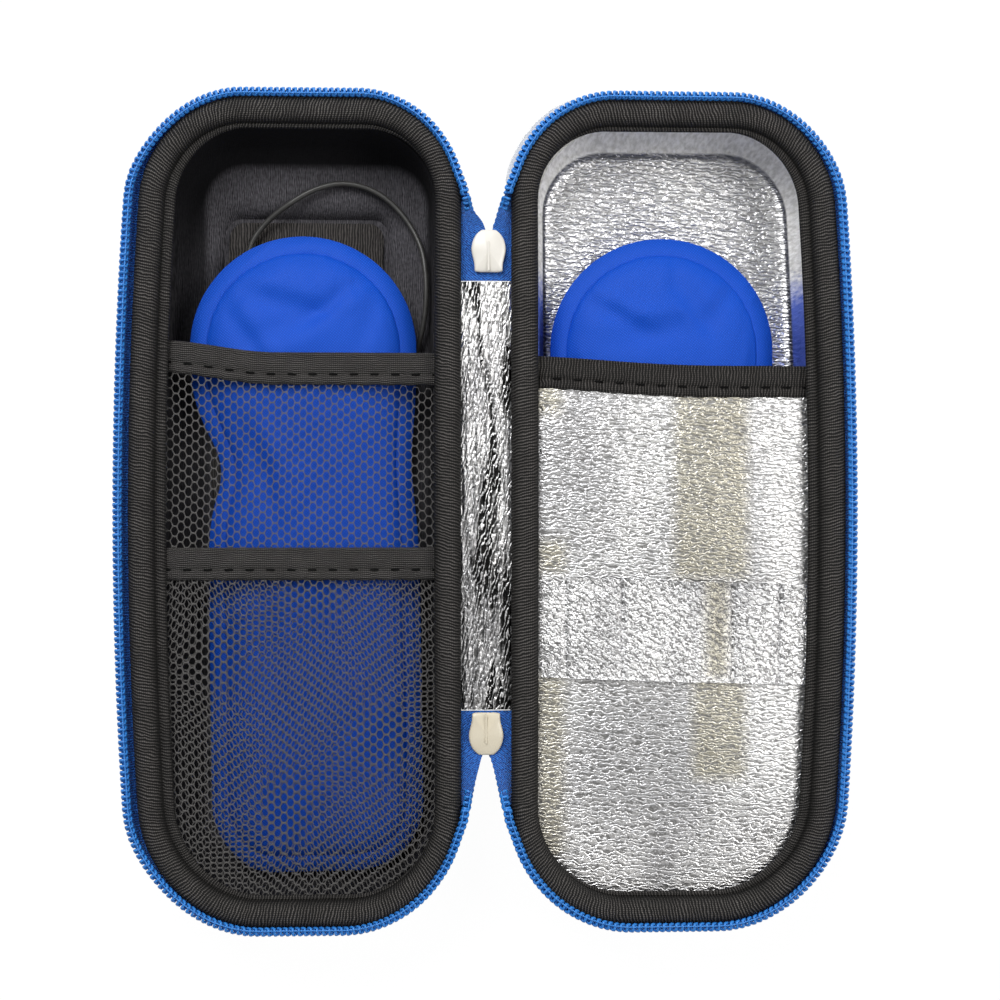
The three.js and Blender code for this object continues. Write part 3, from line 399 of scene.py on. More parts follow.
def shifted(part, step):
    """A part moved by a step."""
    points, faces, uvs = part
    return points + step, faces, uvs


def placed(part, side):
    """A part of one half's frame in the row frame. The side is -1 for the front half and 1 for the back
    one, whose mouth has spread a little."""
    points, faces, uvs = part
    points = np.asarray(points, float)
    wide = BACK_STRETCH if side > 0 else 1
    return np.column_stack([side * (SPINE_HALF + points[:, 0] * wide), points[:, 1:]]), faces, uvs


def made_of(name, parts, finish, sharp=40.0):
    """An object from one part or several, each its points, faces and UVs, with every closed part facing
    out. Edges that bend by more than a sharp angle in degrees stay crisp."""
    points, faces, uvs = [], [], []
    for part_points, part_faces, part_uvs in parts:
        p = np.asarray(part_points, float)
        fan = np.array([(f[0], f[k], f[k + 1]) for f in part_faces for k in range(1, len(f) - 1)])
        volume = np.einsum("ij,ij->i", p[fan[:, 0]], np.cross(p[fan[:, 1]], p[fan[:, 2]])).sum()
        first, corner = sum(len(q) for q in points), 0
        for f in part_faces:
            own = part_uvs[corner:corner + len(f)] if part_uvs else [(0, 0)] * len(f)
            corner += len(f)
            faces.append([first + k for k in (f if volume >= 0 else f[::-1])])
            uvs += own if volume >= 0 else own[::-1]
        points.append(p)
    mesh = bpy.data.meshes.new(name)
    mesh.from_pydata((np.vstack(points) * MM).tolist(), [], faces)
    layer = mesh.uv_layers.new(name="UVMap")
    layer.data.foreach_set("uv", np.array(uvs, np.float32).ravel())
    mesh.materials.append(finish)
    mesh.polygons.foreach_set("use_smooth", np.ones(len(faces), bool))
    mesh.update()
    mesh.set_sharp_from_angle(angle=math.radians(sharp))
    piece = bpy.data.objects.new(name, mesh)
    bpy.context.scene.collection.objects.link(piece)
    return piece


def settle(piece, body, nodes):
    """The piece moves with a body and stands for CAD nodes, which are hidden."""
    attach(piece, body)
    if nodes:
        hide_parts(*nodes)


# Shares of the panel's inset and rise, and then of the wall's, with the end share of each row.
PANEL_SHARES = [(1, 0, 1), (0.9, 0, 1), (0.82, 0.12, 1), (0.775, 0.5, 1), (0.75, 0.85, 1), (0.65, 1, 1)]
WALL_SHARES = [(4, 0.03, 0.42), (2, 0.2, 0.22), (1.2, 0.56, 0.08), (1, 0.83, 0)]


def outer_profile():
    """Rows of inset, height and end share from the flat of the outer panel up to just under the rim."""
    rows = [(PANEL_INSET * a, PANEL_RISE * b, c) for a, b, c in PANEL_SHARES]
    rows += [(WALL_INSET * a, PANEL_RISE + (RIM - PANEL_RISE) * b, c) for a, b, c in WALL_SHARES]
    return np.array(rows)


def inward(rows, depth):
    """The profile moved into the wall by a depth, each row along its own normal."""
    steps = np.diff(np.vstack([rows[0, :2] + (1, 0), rows[:, :2], rows[-1, :2] + (0, 1)]), axis=0)
    steps /= np.linalg.norm(steps, axis=1)[:, None]
    way = steps[:-1] + steps[1:]
    way /= np.linalg.norm(way, axis=1)[:, None]
    moved = rows.copy()
    moved[:, 0] += way[:, 1] * depth
    moved[:, 1] -= way[:, 0] * depth
    return moved


def loops_of(rows):
    """Loops along a smooth curve through the rows of a profile."""
    return [loop_at(*row) for row in smooth(rows, 4)]


# Inset, drop below the rim and flare share of each loop of the flange. The back half's flange stands proud
# at the corner by the hinge's head, by steps that follow how far the rim has turned towards the hinge.
FLANGE_ROWS = [(0.15, 1.4, 0.76), (0, 1.1, 0.8), (0, 0.3, 0.85), (0.2, 0, 0.83)]
PROUD_TURNS, PROUD_STEPS = (-0.2, 0.1, 0.5, 0.97, 1), (0, 0.9, 2.0, 1.9, 0)


def shell_part(side):
    """The outer profile up to the flange and the same profile inside the wall, as one closed skin."""
    proud = np.interp(-OUTWARD[:, 0], PROUD_TURNS, PROUD_STEPS) * (OUTWARD[:, 1] > 0) * (side > 0)
    proud = lifted(OUTWARD * proud[:, None], 0)
    flange = [loop_at(inset, RIM - drop, 0, flare) + proud for inset, drop, flare in FLANGE_ROWS]
    brim = [loop_at(WALL_INSET + WALL, RIM)]
    inner = loops_of(inward(outer_profile(), WALL))[::-1]
    return placed(lofted(loops_of(outer_profile()) + flange + brim + inner), side)


skin_finish, shader = finish_of("outer_skin", (0.8, 0.81, 0.8), 0.7, Sheen_Weight=0.2)
where = place_of(shader)
weave = threads_of(where, 520, "X") * threads_of(where, 520, "Y")
height = weave * 0.7 + noise_of(where, 700)
relief(shader, height, 0.12, 0.7)
paint(shader, height, (0.68, 0.69, 0.69), (0.84, 0.85, 0.84))

front_shell = made_of("front_moulding", [shell_part(-1)], skin_finish)
back_shell = made_of("back_moulding", [shell_part(1)], skin_finish)
settle(back_shell, "back_case", ["back_shell"])

# The thermometer's seat is cut through the front panel, with a wider step for its bezel.
MODULE_X, MODULE_Y = -46.0, 12.0
MODULE_W, MODULE_D = 36.0, 22.0
MODULE_CORNER = 2.5
MODULE_GAP = 0.3
BEZEL_EDGE, BEZEL_DEPTH = 2.0, 1.9
CUT_LOW, CUT_HIGH = -2, 12


def rounded(width, depth, radius, steps=6):
    """A rounded rectangle about the origin, anticlockwise."""
    turns = np.concatenate([np.linspace(q, q + 1, steps + 1) for q in range(4)]) * math.pi / 2
    signs = np.repeat([(1, 1), (-1, 1), (-1, -1), (1, -1)], steps + 1, axis=0)
    middle = signs * (width / 2 - radius, depth / 2 - radius)
    return middle + radius * np.column_stack([np.cos(turns), np.sin(turns)])


def prism(plan, low, high):
    """An upright prism of a plan, as one part."""
    return lofted([lifted(plan, low), lifted(plan, high)])


def cut(piece, part):
    """Takes a part out of a piece for good."""
    cutter = made_of("cutter", [part], piece.data.materials[0])
    modifier = piece.modifiers.new("cut", "BOOLEAN")
    modifier.object = cutter
    modifier.solver = "EXACT"
    modifier.use_self = True
    ready = piece.evaluated_get(bpy.context.evaluated_depsgraph_get())
    mesh = bpy.data.meshes.new_from_object(ready)
    piece.modifiers.clear()
    piece.data = mesh
    bpy.data.objects.remove(cutter)


def module_prism(margin, low, high):
    """A prism round the thermometer, wider by a margin on each side."""
    plan = rounded(MODULE_W + margin * 2, MODULE_D + margin * 2, MODULE_CORNER)
    return shifted(prism(plan, low, high), (MODULE_X, MODULE_Y, 0))


cut(front_shell, module_prism(MODULE_GAP, CUT_LOW, CUT_HIGH))
cut(front_shell, module_prism(MODULE_GAP + BEZEL_EDGE, CUT_LOW, BEZEL_DEPTH))
settle(front_shell, "front_case", ["front_shell"])

# Thermometer
# A small thermometer moulded in pale plastic: a bezel with a clear window and one button on the outer face,
# and a liquid crystal panel, board, cell and cover behind it.
plastic_finish, shader = finish_of("module_plastic", (0.78, 0.79, 0.8), 0.42)
sparks = noise_of(place_of(shader), 2500, 3.0)
relief(shader, sparks, 0.02)
paint(shader, sparks, (0.72, 0.73, 0.74), (0.82, 0.83, 0.84))
dress(["thermometer_bezel", "thermometer_housing", "battery_cover", "mode_button"], plastic_finish, 0.2)

window_colour = (0.93, 0.95, 0.95)
window_finish, shader = finish_of("display_window", window_colour, 0.08, IOR=1.49, Transmission_Weight=0.92)
feed(shader, "Roughness", noise_of(place_of(shader), 400, 4.0) * 0.12 + 0.02)
dress(["display_window"], window_finish, 0.15)

crystal_finish, shader = finish_of("display_panel", (0.33, 0.39, 0.34), 0.2)
paint(shader, threads_of(place_of(shader), 900, "X"), (0.3, 0.36, 0.31), (0.36, 0.42, 0.37))
dress(["display_panel"], crystal_finish)

board_finish, shader = finish_of("circuit_board", (0.02, 0.16, 0.05), 0.35)
paint(shader, noise_of(place_of(shader), 350, 0.0, (1, 6, 1)), (0.015, 0.11, 0.035), (0.03, 0.22, 0.07))
dress(["circuit_board"], board_finish)

# Linings
# The front tray is lined with brushed black knit, with ribbed stretch cloth over the thermometer; the back
# one with creased silver foil.
GAP = 0.3
LINING = 0.8
LEDGE_X, LEDGE_HALF_X, LEDGE_HALF_Y = -42.2, 17.4, 76.4


def lining_part():
    """The knit follows the wall's inner side and ends at the rim, as one closed skin."""
    def rows(depth):
        return np.vstack([inward(outer_profile(), depth), (WALL_INSET + depth, RIM, 0)])
    outer, inner = loops_of(rows(WALL + GAP)), loops_of(rows(WALL + GAP + LINING))
    return placed(lofted(outer + inner[::-1]), -1)


def knit(name, rib, dark, light, depth, nap_share, wall_shade=None):
    """Black knit with ribs along Y, each a rib in millimetres wide, wandering a little under a soft nap.
    Where a wall shade is given, the lining beyond the rounded plan of the tray's ledge is painted darker as
    shade, down to that share at the head."""
    made, shader = finish_of(name, dark, 0.9, Specular_IOR_Level=0.2)
    where = place_of(shader)
    x, y, _ = axes_of(where)
    across = x + noise_of(where, 60, 1.0, (1, 0.5, 1)) * (2.5 * MM)
    across = across + noise_of(where, 800, 1.0, (1, 0.35, 1)) * (0.9 * MM)
    ribs = across.sine(rib * MM) * 0.5 + 0.5
    height = ribs + noise_of(where, 1700, 2.0, (1, 0.6, 1)) * nap_share
    relief(shader, height, depth)
    level = (height * (1 / (1 + nap_share))) ** 1.5
    if wall_shade:
        # Painted shade: the walls beyond the ledge's rounded plan are darkened, darkest at the head of the
        # tray.
        off_x = (abs(x - LEDGE_X * MM) - LEDGE_HALF_X * MM).maths("MAXIMUM")
        off_y = (abs(y) - LEDGE_HALF_Y * MM).maths("MAXIMUM")
        off = (off_x * off_x + off_y * off_y).maths("SQRT")
        at_wall = y.spread(80 * MM, 58 * MM, wall_shade, 0.3)
        level = level * off.spread(9.2 * MM, 11.0 * MM, 1.0, at_wall)
    paint(shader, level, dark, light)
    return made


lining_finish = knit("black_lining", 0.4, (0.002, 0.002, 0.003), (0.17, 0.163, 0.18), 0.05, 1.6, 0.04)
recess_finish = knit("recess_cloth", 0.66, (0.006, 0.006, 0.006), (0.12, 0.11, 0.105), 0.22, 0.8)

front_lining = made_of("front_tray_lining", [lining_part()], lining_finish)
cut(front_lining, module_prism(MODULE_GAP, 1, CUT_HIGH))
settle(front_lining, "front_case", ["front_lining"])

FLOOR = WALL + GAP + LINING + GAP
CLOTH_TOP = 9.0
CLOTH = 0.6
CLOTH_INSET = PANEL_INSET + 1.05
# How far each loop lies beyond the thermometer along X and Y, and its share of the rise.
CLOTH_STEPS = [(5.6, 5.6, 0), (5.1, 5.0, 0.1), (4.6, 4.2, 0.8), (4.2, 3.7, 1), (-2, -2, 1)]
SLIT_WIDTH, SLIT_LENGTH, SLIT_X, SLIT_BEYOND = 5.4, 9, -56, 4.2


def recess_cloth_part():
    """The cloth lies on the floor and rises over the thermometer smoothly from its edge to its middle."""
    plan = outline(CLOTH_INSET, CLOTH_INSET + PANEL_END)
    middle = (HALF_WIDTH / 2, MODULE_Y)
    reach = (HALF_WIDTH / 2 - CLOTH_INSET, HALF_LENGTH / 2 - CLOTH_INSET - PANEL_END)
    share = np.clip((plan - (HALF_WIDTH / 2, 0)) / reach, -1, 1)
    lower = [lifted(plan, FLOOR)]
    for beyond_x, beyond_y, rise in CLOTH_STEPS:
        around = share * (MODULE_W / 2 + beyond_x, MODULE_D / 2 + beyond_y) + middle
        lower.append(lifted(around, FLOOR + (CLOTH_TOP - FLOOR) * rise))
    upper = [row + (0, 0, CLOTH) for row in lower]
    return placed(lofted(upper[::-1] + lower), -1)


recess_cloth = made_of("recess_stretch_cloth", [recess_cloth_part()], recess_finish)
slit = prism(rounded(SLIT_WIDTH, SLIT_LENGTH, SLIT_WIDTH / 4), 0, 20)
cut(recess_cloth, shifted(slit, (SLIT_X, MODULE_Y + MODULE_D / 2 + SLIT_BEYOND, 0)))
settle(recess_cloth, "front_case", ["recess_cloth"])


def silver_of(where, x, y, pebble, low_shade, patches, dims):
    """The foil's plain tone, with slow clouds of painted shade, painted oval shades and painted warm
    reflections in patches whose edges are crinkled.
    """
    # Painted shade in slow clouds, and darker still in ovals.
    shade = noise_of(where, 34, 1.0, (1.3, 0.45, 1), 0.6).spread(0.4, 0.6)
    for middle_x, middle_y, half_x, half_y in dims:
        off_x = (x - middle_x * MM) / (half_x * MM)
        off_y = (y - middle_y * MM) / (half_y * MM)
        shade = shade * (off_x * off_x + off_y * off_y).spread(0.3, 1.5, 0.05)
    silver = blend_of(shade, (low_shade, low_shade, low_shade * 1.03), (0.92, 0.92, 0.93))
    # Painted warm reflections in patches.
    warm = 0.0
    for middle_x, middle_y, half_x, half_y in patches:
        shares = []
        for axis, middle, half in ((x, middle_x, half_x), (y, middle_y, half_y)):
            off = abs(axis - middle * MM) + pebble * (2.5 * MM)
            shares.append(off.spread((half + 3.5) * MM, half * MM, 0.0, 0.92))
        warm = (shares[0] * shares[1]).maths("MAXIMUM", warm)
    return blend_of(warm, silver, (0.5, 0.47, 0.38)) if patches else silver


def gathered(shader, where, y, z, foot, tone, height):
    """The tone and height of foil whose wall above a foot, in millimetres, is gathered and dull, with a
    painted blue reflection of the pack beside it. A painted shade line runs along the foot."""
    up = z.spread(foot * MM, (foot + 0.5) * MM)
    # Painted shade: a dark line along the wall's foot.
    line = z.spread((foot - 0.6) * MM, (foot - 0.4) * MM)
    fine = noise_of(where, 1100, 3.0, (1, 1, 0.22))
    # Painted reflection: the wall beside the pack takes the pack's blue.
    beside = (y + fine * (8 * MM)).spread(64 * MM, 56 * MM)
    dull = blend_of(fine * 3.4 - 1.2, (0.7, 0.69, 0.66), (1.0, 0.99, 0.97))
    dull = blend_of(beside * 0.9, dull, (0.05, 0.14, 0.7))
    rubbed = up * y.spread(44 * MM, 58 * MM, 0.0, -0.9)
    feed(shader, "Roughness", up * 0.3 + 0.34)
    feed(shader, "Metallic", rubbed + 1.0)
    tone = blend_of(line * 0.8, tone, (0.05, 0.055, 0.075))
    return blend_of(up, tone, dull), height * (up * -0.75 + 1.0) + fine * up * 1.7


def foil(name, pitch, grain, drift, depth=0.1, dark=0.3, low_shade=0.6, streaks=0.0, patches=(), dims=(),
         foot=None):
    """Creased silver foil: fine ridges a pitch in millimetres apart, which wander with a grain (millimetres
    along X and Y) and follow one another along a drift. The valleys between them are painted dark as shade,
    and streaks are the share of deep folds painted near black as shade. Patches are painted warm reflections
    and dims painted oval shades, each a middle and half its width and height in millimetres. Above a foot the
    foil is gathered."""
    made, shader = finish_of(name, (0.9, 0.9, 0.9), 0.34, 1.0)
    where = place_of(shader)
    x, y, z = axes_of(where)
    wander = noise_of(where, 1000, 2.0, (1 / grain[0], 1 / grain[1], 0.5), 0.3)
    path = x * (drift[0] / MM) + y * (drift[1] / MM) + wander * 2.6
    ridge = path.sine(pitch) * 0.5 + 0.5
    pebble = noise_of(where, 1500, 3.0, (0.6, 1, 1))
    height = ridge + pebble * 1.5
    silver = silver_of(where, x, y, pebble, low_shade, patches, dims)
    # Painted shade: the valleys between the ridges are darkened.
    tone = blend_of(height.spread(1.25, 0.8, 0.0, 0.85), silver, (dark, dark, dark * 1.02))
    if streaks:
        # Painted shade: deep folds are darkened nearly black.
        fold = noise_of(where, 150, 2.5, (1, 0.14, 1), 0.5).spread(1 - streaks, 1.06 - streaks)
        tone = blend_of(fold * height.spread(1.7, 1.4), tone, (0.012, 0.012, 0.012))
    if foot:
        tone, height = gathered(shader, where, y, z, foot, tone, height)
    relief(shader, height + noise_of(where, 120, 2.0) * 3.0, depth)
    feed(shader, "Base Color", tone)
    return made


foil_finish = foil("foil_lining", 0.95, (2.6, 1.2), (0.08, 0.9), 0.15, low_shade=0.85, foot=9.9)
FOIL_FLOOR = 9.0
# The flat floor and the fillet: inset beyond the wall's foot, rise above the floor and end share of a row.
FOIL_ROWS = [(22, 0, 0.6), (12, 0, 0.5), (4.2, 0, 0.42), (2.4, 0.12, 0.3), (1.0, 0.7, 0.16), (0.3, 2.0, 0.08)]


def foil_tray_part():
    """The foil hangs down the wall as the front lining does and turns by a fillet into a flat floor, which
    spans the hollow of the panel."""
    def rows(depth, floor):
        wall = inward(outer_profile(), depth)[-3:]
        base = [(wall[0, 0] + beyond, floor + rise, share) for beyond, rise, share in FOIL_ROWS]
        return np.vstack([base, wall[1:], (WALL_INSET + depth, RIM, 0)])
    outer = loops_of(rows(WALL + GAP, FOIL_FLOOR - LINING))
    inner = loops_of(rows(WALL + GAP + LINING, FOIL_FLOOR))
    return placed(lofted(outer + inner[::-1]), 1)


back_lining = made_of("back_tray_foil", [foil_tray_part()], foil_finish)
settle(back_lining, "back_case", ["back_foil_liner"])

# Binding
# Black grosgrain tape rolled over the rim, sewn down in a groove, its inner lip overlocked to the pockets.
# Its ribs run across the tape.
BINDING_FOOT = RIM + 2.5
BINDING_RISE = 3.2
BINDING_WIDTH = 6.4
LIP = 2.6
TAPE_ROUND = 13
HALVES = ((-1, "front"), (1, "back"))
# Shares of the binding's width and rise along the roll, and of the lip's reach and the rise along the lip.
ROLL_SHARES = [(0, 0.02), (-0.01, 0.2), (0.02, 0.45), (0.1, 0.74), (0.24, 0.93), (0.42, 1.0), (0.62, 0.97),
               (0.8, 0.84), (0.93, 0.62), (1.0, 0.36)]
LIP_SHARES = [(0.15, 0.24), (0.3, 0.3), (0.7, 0.27), (0.95, 0.2), (1.0, 0.1), (1.0, 0.01)]
# How brightly a painted highlight lights the ribs at shares of the way round the rolled tape.
CREST_HIGHLIGHT_SHARES = [(0, 0.25), (0.2, 0.5), (0.32, 1.0), (0.52, 0.95), (0.64, 0.4), (0.7, 0.06), (0.75, 0.5),
               (0.86, 0.7), (0.95, 0.2)]


def uv_of(shader):
    """The place of a point on the piece's own UV map, in millimetres."""
    return node(shader.id_data, "ShaderNodeUVMap", uv_map="UVMap").outputs[0]


def grosgrain(name, pitch, axis, slant, dark, light, highlight=()):
    """Ribbed tape. The ribs follow one another along U (axis 0) or V (axis 1) of the UVs, a pitch in
    millimetres apart, and lean by a slant. Highlight shares brighten them across the tape as a painted
    highlight."""
    made, shader = finish_of(name, dark, 0.7, Specular_IOR_Level=0.25)
    where = uv_of(shader)
    parts = axes_of(where)
    along, aside = parts[axis], parts[1 - axis]
    path = along + noise_of(where, 0.35) * (pitch * 1.6) + aside * slant
    height = path.sine(pitch) * 0.5 + 0.5 + aside.sine(0.5) * 0.16
    relief(shader, height, 0.2)
    level = (height * 0.9).maths("MAXIMUM") ** 2.6 * (noise_of(where, 0.16) + 0.3)
    if highlight:
        # Painted highlight: the ribs are lightened across the tape where light catches the roll.
        curve = node(shader.id_data, "ShaderNodeValToRGB", {"Fac": aside / TAPE_ROUND})
        stops = curve.color_ramp.elements
        while len(stops) < len(highlight):
            stops.new(0.5)
        for stop, (place, value) in zip(stops, highlight):
            stop.position = place
            stop.color = (value, value, value, 1)
        level = level * curve.outputs["Color"]
    paint(shader, level, dark, light)
    return made


def binding_part(side):
    """The roll over the rim, from the zip's side over the top, and the lip under it, as a closed ring."""
    rows = [(0.15 + BINDING_WIDTH * a, BINDING_FOOT + BINDING_RISE * b) for a, b in smooth(ROLL_SHARES, 3)]
    loops = [loop_at(inset, z) for inset, z in rows]
    inner = outline(BINDING_WIDTH)
    for reach, rise in LIP_SHARES:
        plan = inner - OUTWARD * (LIP * (1 + OUTWARD[:, :1]) / 2 * reach)
        loops.append(lifted(plan, BINDING_FOOT + BINDING_RISE * rise))
    return placed(lofted(loops, ring=True), side)


BLACK = (0.003, 0.0028, 0.0026)
binding_finish = grosgrain("binding_tape", 0.74, 0, 0.22, BLACK, (0.155, 0.144, 0.135), CREST_HIGHLIGHT_SHARES)
for side, half in HALVES:
    binding = made_of(f"{half}_rolled_binding", [binding_part(side)], binding_finish, 60)
    settle(binding, f"{half}_case", [f"{half}_binding"])

# Zip
# Each half's woven tape flares up from the seam to a nylon coil. Beside the hinge the two tapes run down
# into the sliders in a gusset.
SEAM = RIM + GAP
ZIP_RISE = 6.3
COIL_WIDTH, COIL_HEIGHT = 2.3, 1.8
COIL_PITCH = 1.45
COIL_WIRE = 0.36
TURN_POINTS = 12
TAPE = 0.7
TAPE_BACK = 0.4
GUSSET = 0.5
ZIP_LINE = RIM_LINE[:len(RIM_LINE) - HINGE_STEPS + 1]
ZIP_OUT = OUTWARD[:len(ZIP_LINE)]
ZIP_FAR_FLARE = {-1: 3.1, 1: 2.2}
CORNER_TURNS = (0, 0.4, 0.8, 0.96, 0.985, 1)
CORNER_FLARES = (END_FLARE, 1.1, 0.9, 1.0, 1.4, HINGE_FLARE)
SPINE_TOP, SPINE_BOTTOM = 55.8, -48.1
TOP_X, BOTTOM_X = 0.6, 0.0

tape_finish, shader = finish_of("zip_tape", (0.02, 0.13, 0.6), 0.75, Sheen_Weight=0.2)
where = uv_of(shader)
twill = threads_of(where, 1, "DIAGONAL", Distortion=3.0, Detail_Scale=2.0)
height = twill * 0.6 + noise_of(where, 1.7) * 1.5
relief(shader, height, 0.3)
paint(shader, height * 1.7 - 1.2, (0.002, 0.035, 0.25), (0.022, 0.2, 0.74))

coil_finish, shader = finish_of("zip_coil", (0.02, 0.15, 0.55), 0.35)
paint(shader, noise_of(place_of(shader), 1200), (0.01, 0.14, 0.49), (0.05, 0.31, 0.84))


def zip_flare(side):
    """How far the zip flares out at each stop: most on the far side, less round the corners by the hinge."""
    x = ZIP_OUT[:, 0]
    far = END_FLARE + (ZIP_FAR_FLARE[side] - END_FLARE) * np.abs(x) ** 8
    return np.where(x > 0, far, np.interp(-x, CORNER_TURNS, CORNER_FLARES))[:, None]


def zip_tape_part(side):
    """The tape's section, swept round the rim: flat in the seam, then curving up and out under the coil."""
    tip_rise = ZIP_RISE - COIL_HEIGHT - GAP - TAPE
    reach = zip_flare(side) - TAPE_BACK
    rows = []
    for lift in (0, TAPE):
        sheet = [lifted(ZIP_LINE + ZIP_OUT * x, SEAM + lift) for x in (-2.8, -1.2)]
        for t in np.linspace(0, 1, 7):
            plan = ZIP_LINE + ZIP_OUT * reach * t ** 0.8
            sheet.append(lifted(plan, SEAM + lift + tip_rise * t ** 1.3))
        rows += sheet if lift == 0 else sheet[::-1]
    return placed(lofted(np.array(rows).transpose(1, 0, 2)), side)


def tube(path, radius, sides, up=(0, 0, 1.0)):
    """A round tube along a path, as one part; the first side of each ring faces up."""
    ahead = np.gradient(path, axis=0)
    ahead /= np.linalg.norm(ahead, axis=1)[:, None]
    up = np.broadcast_to(up, path.shape)
    first = up - ahead * np.einsum("ij,ij->i", up, ahead)[:, None]
    first /= np.linalg.norm(first, axis=1)[:, None]
    second = np.cross(ahead, first)
    radius = np.broadcast_to(radius, len(path))[:, None]
    turns = 2 * math.pi * np.arange(sides) / sides
    rings = [path + radius * (first * math.cos(t) + second * math.sin(t)) for t in turns]
    return lofted(np.array(rings).transpose(1, 0, 2))


def coil_parts(line, across, side):
    """A coil of nylon wire along a line, a pitch to a turn, flattened to the coil's width and height. The
    wire advances half a pitch at each side, so its legs lie square to the line. A thread sews them down."""
    length = np.append(0, np.cumsum(np.linalg.norm(np.diff(line, axis=0), axis=1)))
    turns = int(length[-1] / COIL_PITCH - 0.5)
    phase = np.arange(turns * TURN_POINTS + 1) / TURN_POINTS
    part = phase * 2 - np.floor(phase * 2 + 0.5)
    ease = np.clip(part / 0.24 + 0.5, 0, 1)
    s = COIL_PITCH * (np.floor(phase * 2 + 0.5) + ease * ease * (3 - 2 * ease)) / 2

    def at(places):
        middle = np.column_stack([np.interp(places, length, line[:, k]) for k in range(3)])
        out = np.column_stack([np.interp(places, length, across[:, k]) for k in range(3)])
        return middle, out / np.linalg.norm(out, axis=1)[:, None]
    middle, out = at(s)
    angle = 2 * math.pi * phase
    up = np.array([0, 0, 1.0])
    wide = (COIL_WIDTH / 2 - COIL_WIRE) * np.sign(np.cos(angle)) * np.abs(np.cos(angle)) ** 0.7
    high = (COIL_HEIGHT / 2 - COIL_WIRE) * np.sin(angle)
    path = middle + out * wide[:, None] + up * high[:, None]
    radial = out * np.cos(angle)[:, None] + up * np.sin(angle)[:, None]
    wound = tube(path, COIL_WIRE, 6, radial)
    places = np.arange(0.5 * COIL_PITCH, s[-1], COIL_PITCH / 6)
    middle, out = at(places)
    rise = COIL_HEIGHT / 2 + 0.04 + 0.1 * np.cos(2 * math.pi * places / COIL_PITCH - math.pi)
    thread = middle - out * 0.45 + up * rise[:, None]
    sewn = tube(thread, 0.19 + 0.05 * np.cos(4 * math.pi * places / COIL_PITCH), 5)
    return [placed(wound, side), placed(sewn, side)]


for side, half in HALVES:
    tape = made_of(f"{half}_zip_tape_cloth", [zip_tape_part(side)], tape_finish)
    settle(tape, f"{half}_case", [f"{half}_zip_tape"])
    plan = ZIP_LINE + ZIP_OUT * (zip_flare(side) - COIL_WIDTH / 2)
    line = lifted(plan, SEAM + ZIP_RISE - COIL_HEIGHT / 2)
    coil = made_of(f"{half}_zip_chain", coil_parts(line, lifted(ZIP_OUT, 0), side), coil_finish, 180)
    settle(coil, f"{half}_case", [f"{half}_zip_coil"])


def gusset(side, name, corner_y, slider_x, nose_y, foil_y):
    """The tape between a half's corner, the slider and the foil, and the coil on its edge. Both bend
    between the half and the hinge strip, and the coil dives under the tape's edge."""
    way = math.copysign(1, corner_y)
    middle_y, mouth_y = corner_y * 0.62 + nose_y * 0.38, nose_y + way * 1.6
    chain = smooth([(side * 4.95, corner_y + way * 0.9, 27.4), (side * 3.85, middle_y, 24.3),
                    (slider_x + side * 2.5, mouth_y, 23.1),
                    (slider_x + side * 1.4, nose_y - way * 1.2, 23.0)], 10)
    edge = smooth([(side * 4.2, corner_y, 25.9), (side * 3.0, middle_y, 25.8),
                   (slider_x + side * 1.4, mouth_y, 24.5), (slider_x + side * 0.2, nose_y - way * 3, 23.3),
                   (side * -0.2, foil_y, 23.25 + side * 0.06)], 8)
    root = np.linspace((side * 7.6, corner_y, 22.6), (side * 7.6, foil_y, 22.6), len(edge))
    rows = []
    for lift in (-GUSSET / 2, GUSSET / 2):
        bow = [(t, (0, 0, lift + t * (1 - t) / 2)) for t in np.linspace(0, 1, 6)]
        sheet = [root * (1 - t) + edge * t + rise for t, rise in bow]
        rows += sheet if lift < 0 else sheet[::-1]
    tape = made_of(f"{name}_gusset", [lofted(np.array(rows).transpose(1, 0, 2))], tape_finish)
    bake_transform(tape)
    across = np.cross(np.gradient(chain, axis=0), (0, 0, -way * side))
    local = (chain - (side * SPINE_HALF, 0, 0)) * (side, 1, 1)
    coil = made_of(f"{name}_gusset_chain", coil_parts(local, across * (side, 1, 1), side), coil_finish, 180)
    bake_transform(coil)
    return tape


for end, corner_y, slider_x, nose_y, foil_y in (("top", 75, TOP_X, 68.3, SPINE_TOP + 0.3),
                                                ("bottom", -71, BOTTOM_X, -59, SPINE_BOTTOM - 0.3)):
    front_gusset = gusset(-1, f"{end}_front", corner_y, slider_x, nose_y, foil_y)
    gusset(1, f"{end}_back", corner_y, slider_x, nose_y, foil_y)
    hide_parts(f"zip_join_{end}")

# Sliders and pulls
# White enamelled sliders with a shield-shaped back and a thin ridge down it. Their pulls hang under the
# case.
SLIDER_HALF, SLIDER_REACH, SLIDER_PLATE, THROAT = 4.2, 5.05, 1.3, 1.4
SLIDER_MIDDLE = 23.3
# Shares of the slider's half width and reach round its right side, and of its plan and plate up its dome.
SHIELD_SHARES = [(0, 1.0), (0.38, 1.0), (0.47, 0.965), (0.57, 0.9), (0.73, 0.76), (0.9, 0.5), (0.99, 0.16),
                 (0.98, -0.06), (0.91, -0.32), (0.84, -0.56), (0.81, -0.8), (0.8, -0.95), (0.74, -1.0),
                 (0, -1.03)]
DOME_SHARES = [(0.97, 0), (1, 0.1), (1, 0.3), (0.975, 0.48), (0.91, 0.6), (0.75, 0.72), (0.5, 0.86),
               (0.25, 0.98), (0.06, 1.06)]

enamel_finish, shader = finish_of("white_enamel", (0.8, 0.77, 0.7), 0.34, Coat_Weight=0.25)
chips = noise_of(place_of(shader), 260, 4.0)
relief(shader, chips, 0.05)
white = blend_of(chips, (0.74, 0.71, 0.64), (0.83, 0.8, 0.74))
foot_slider_tone = blend_of(chips, (0.66, 0.59, 0.45), (0.74, 0.68, 0.54))
# The slider at the case's foot is coloured darker and warmer than the one at its head.
paint(shader, axes_of(place_of(shader))[1].spread(0.01, -0.01), white, foot_slider_tone)


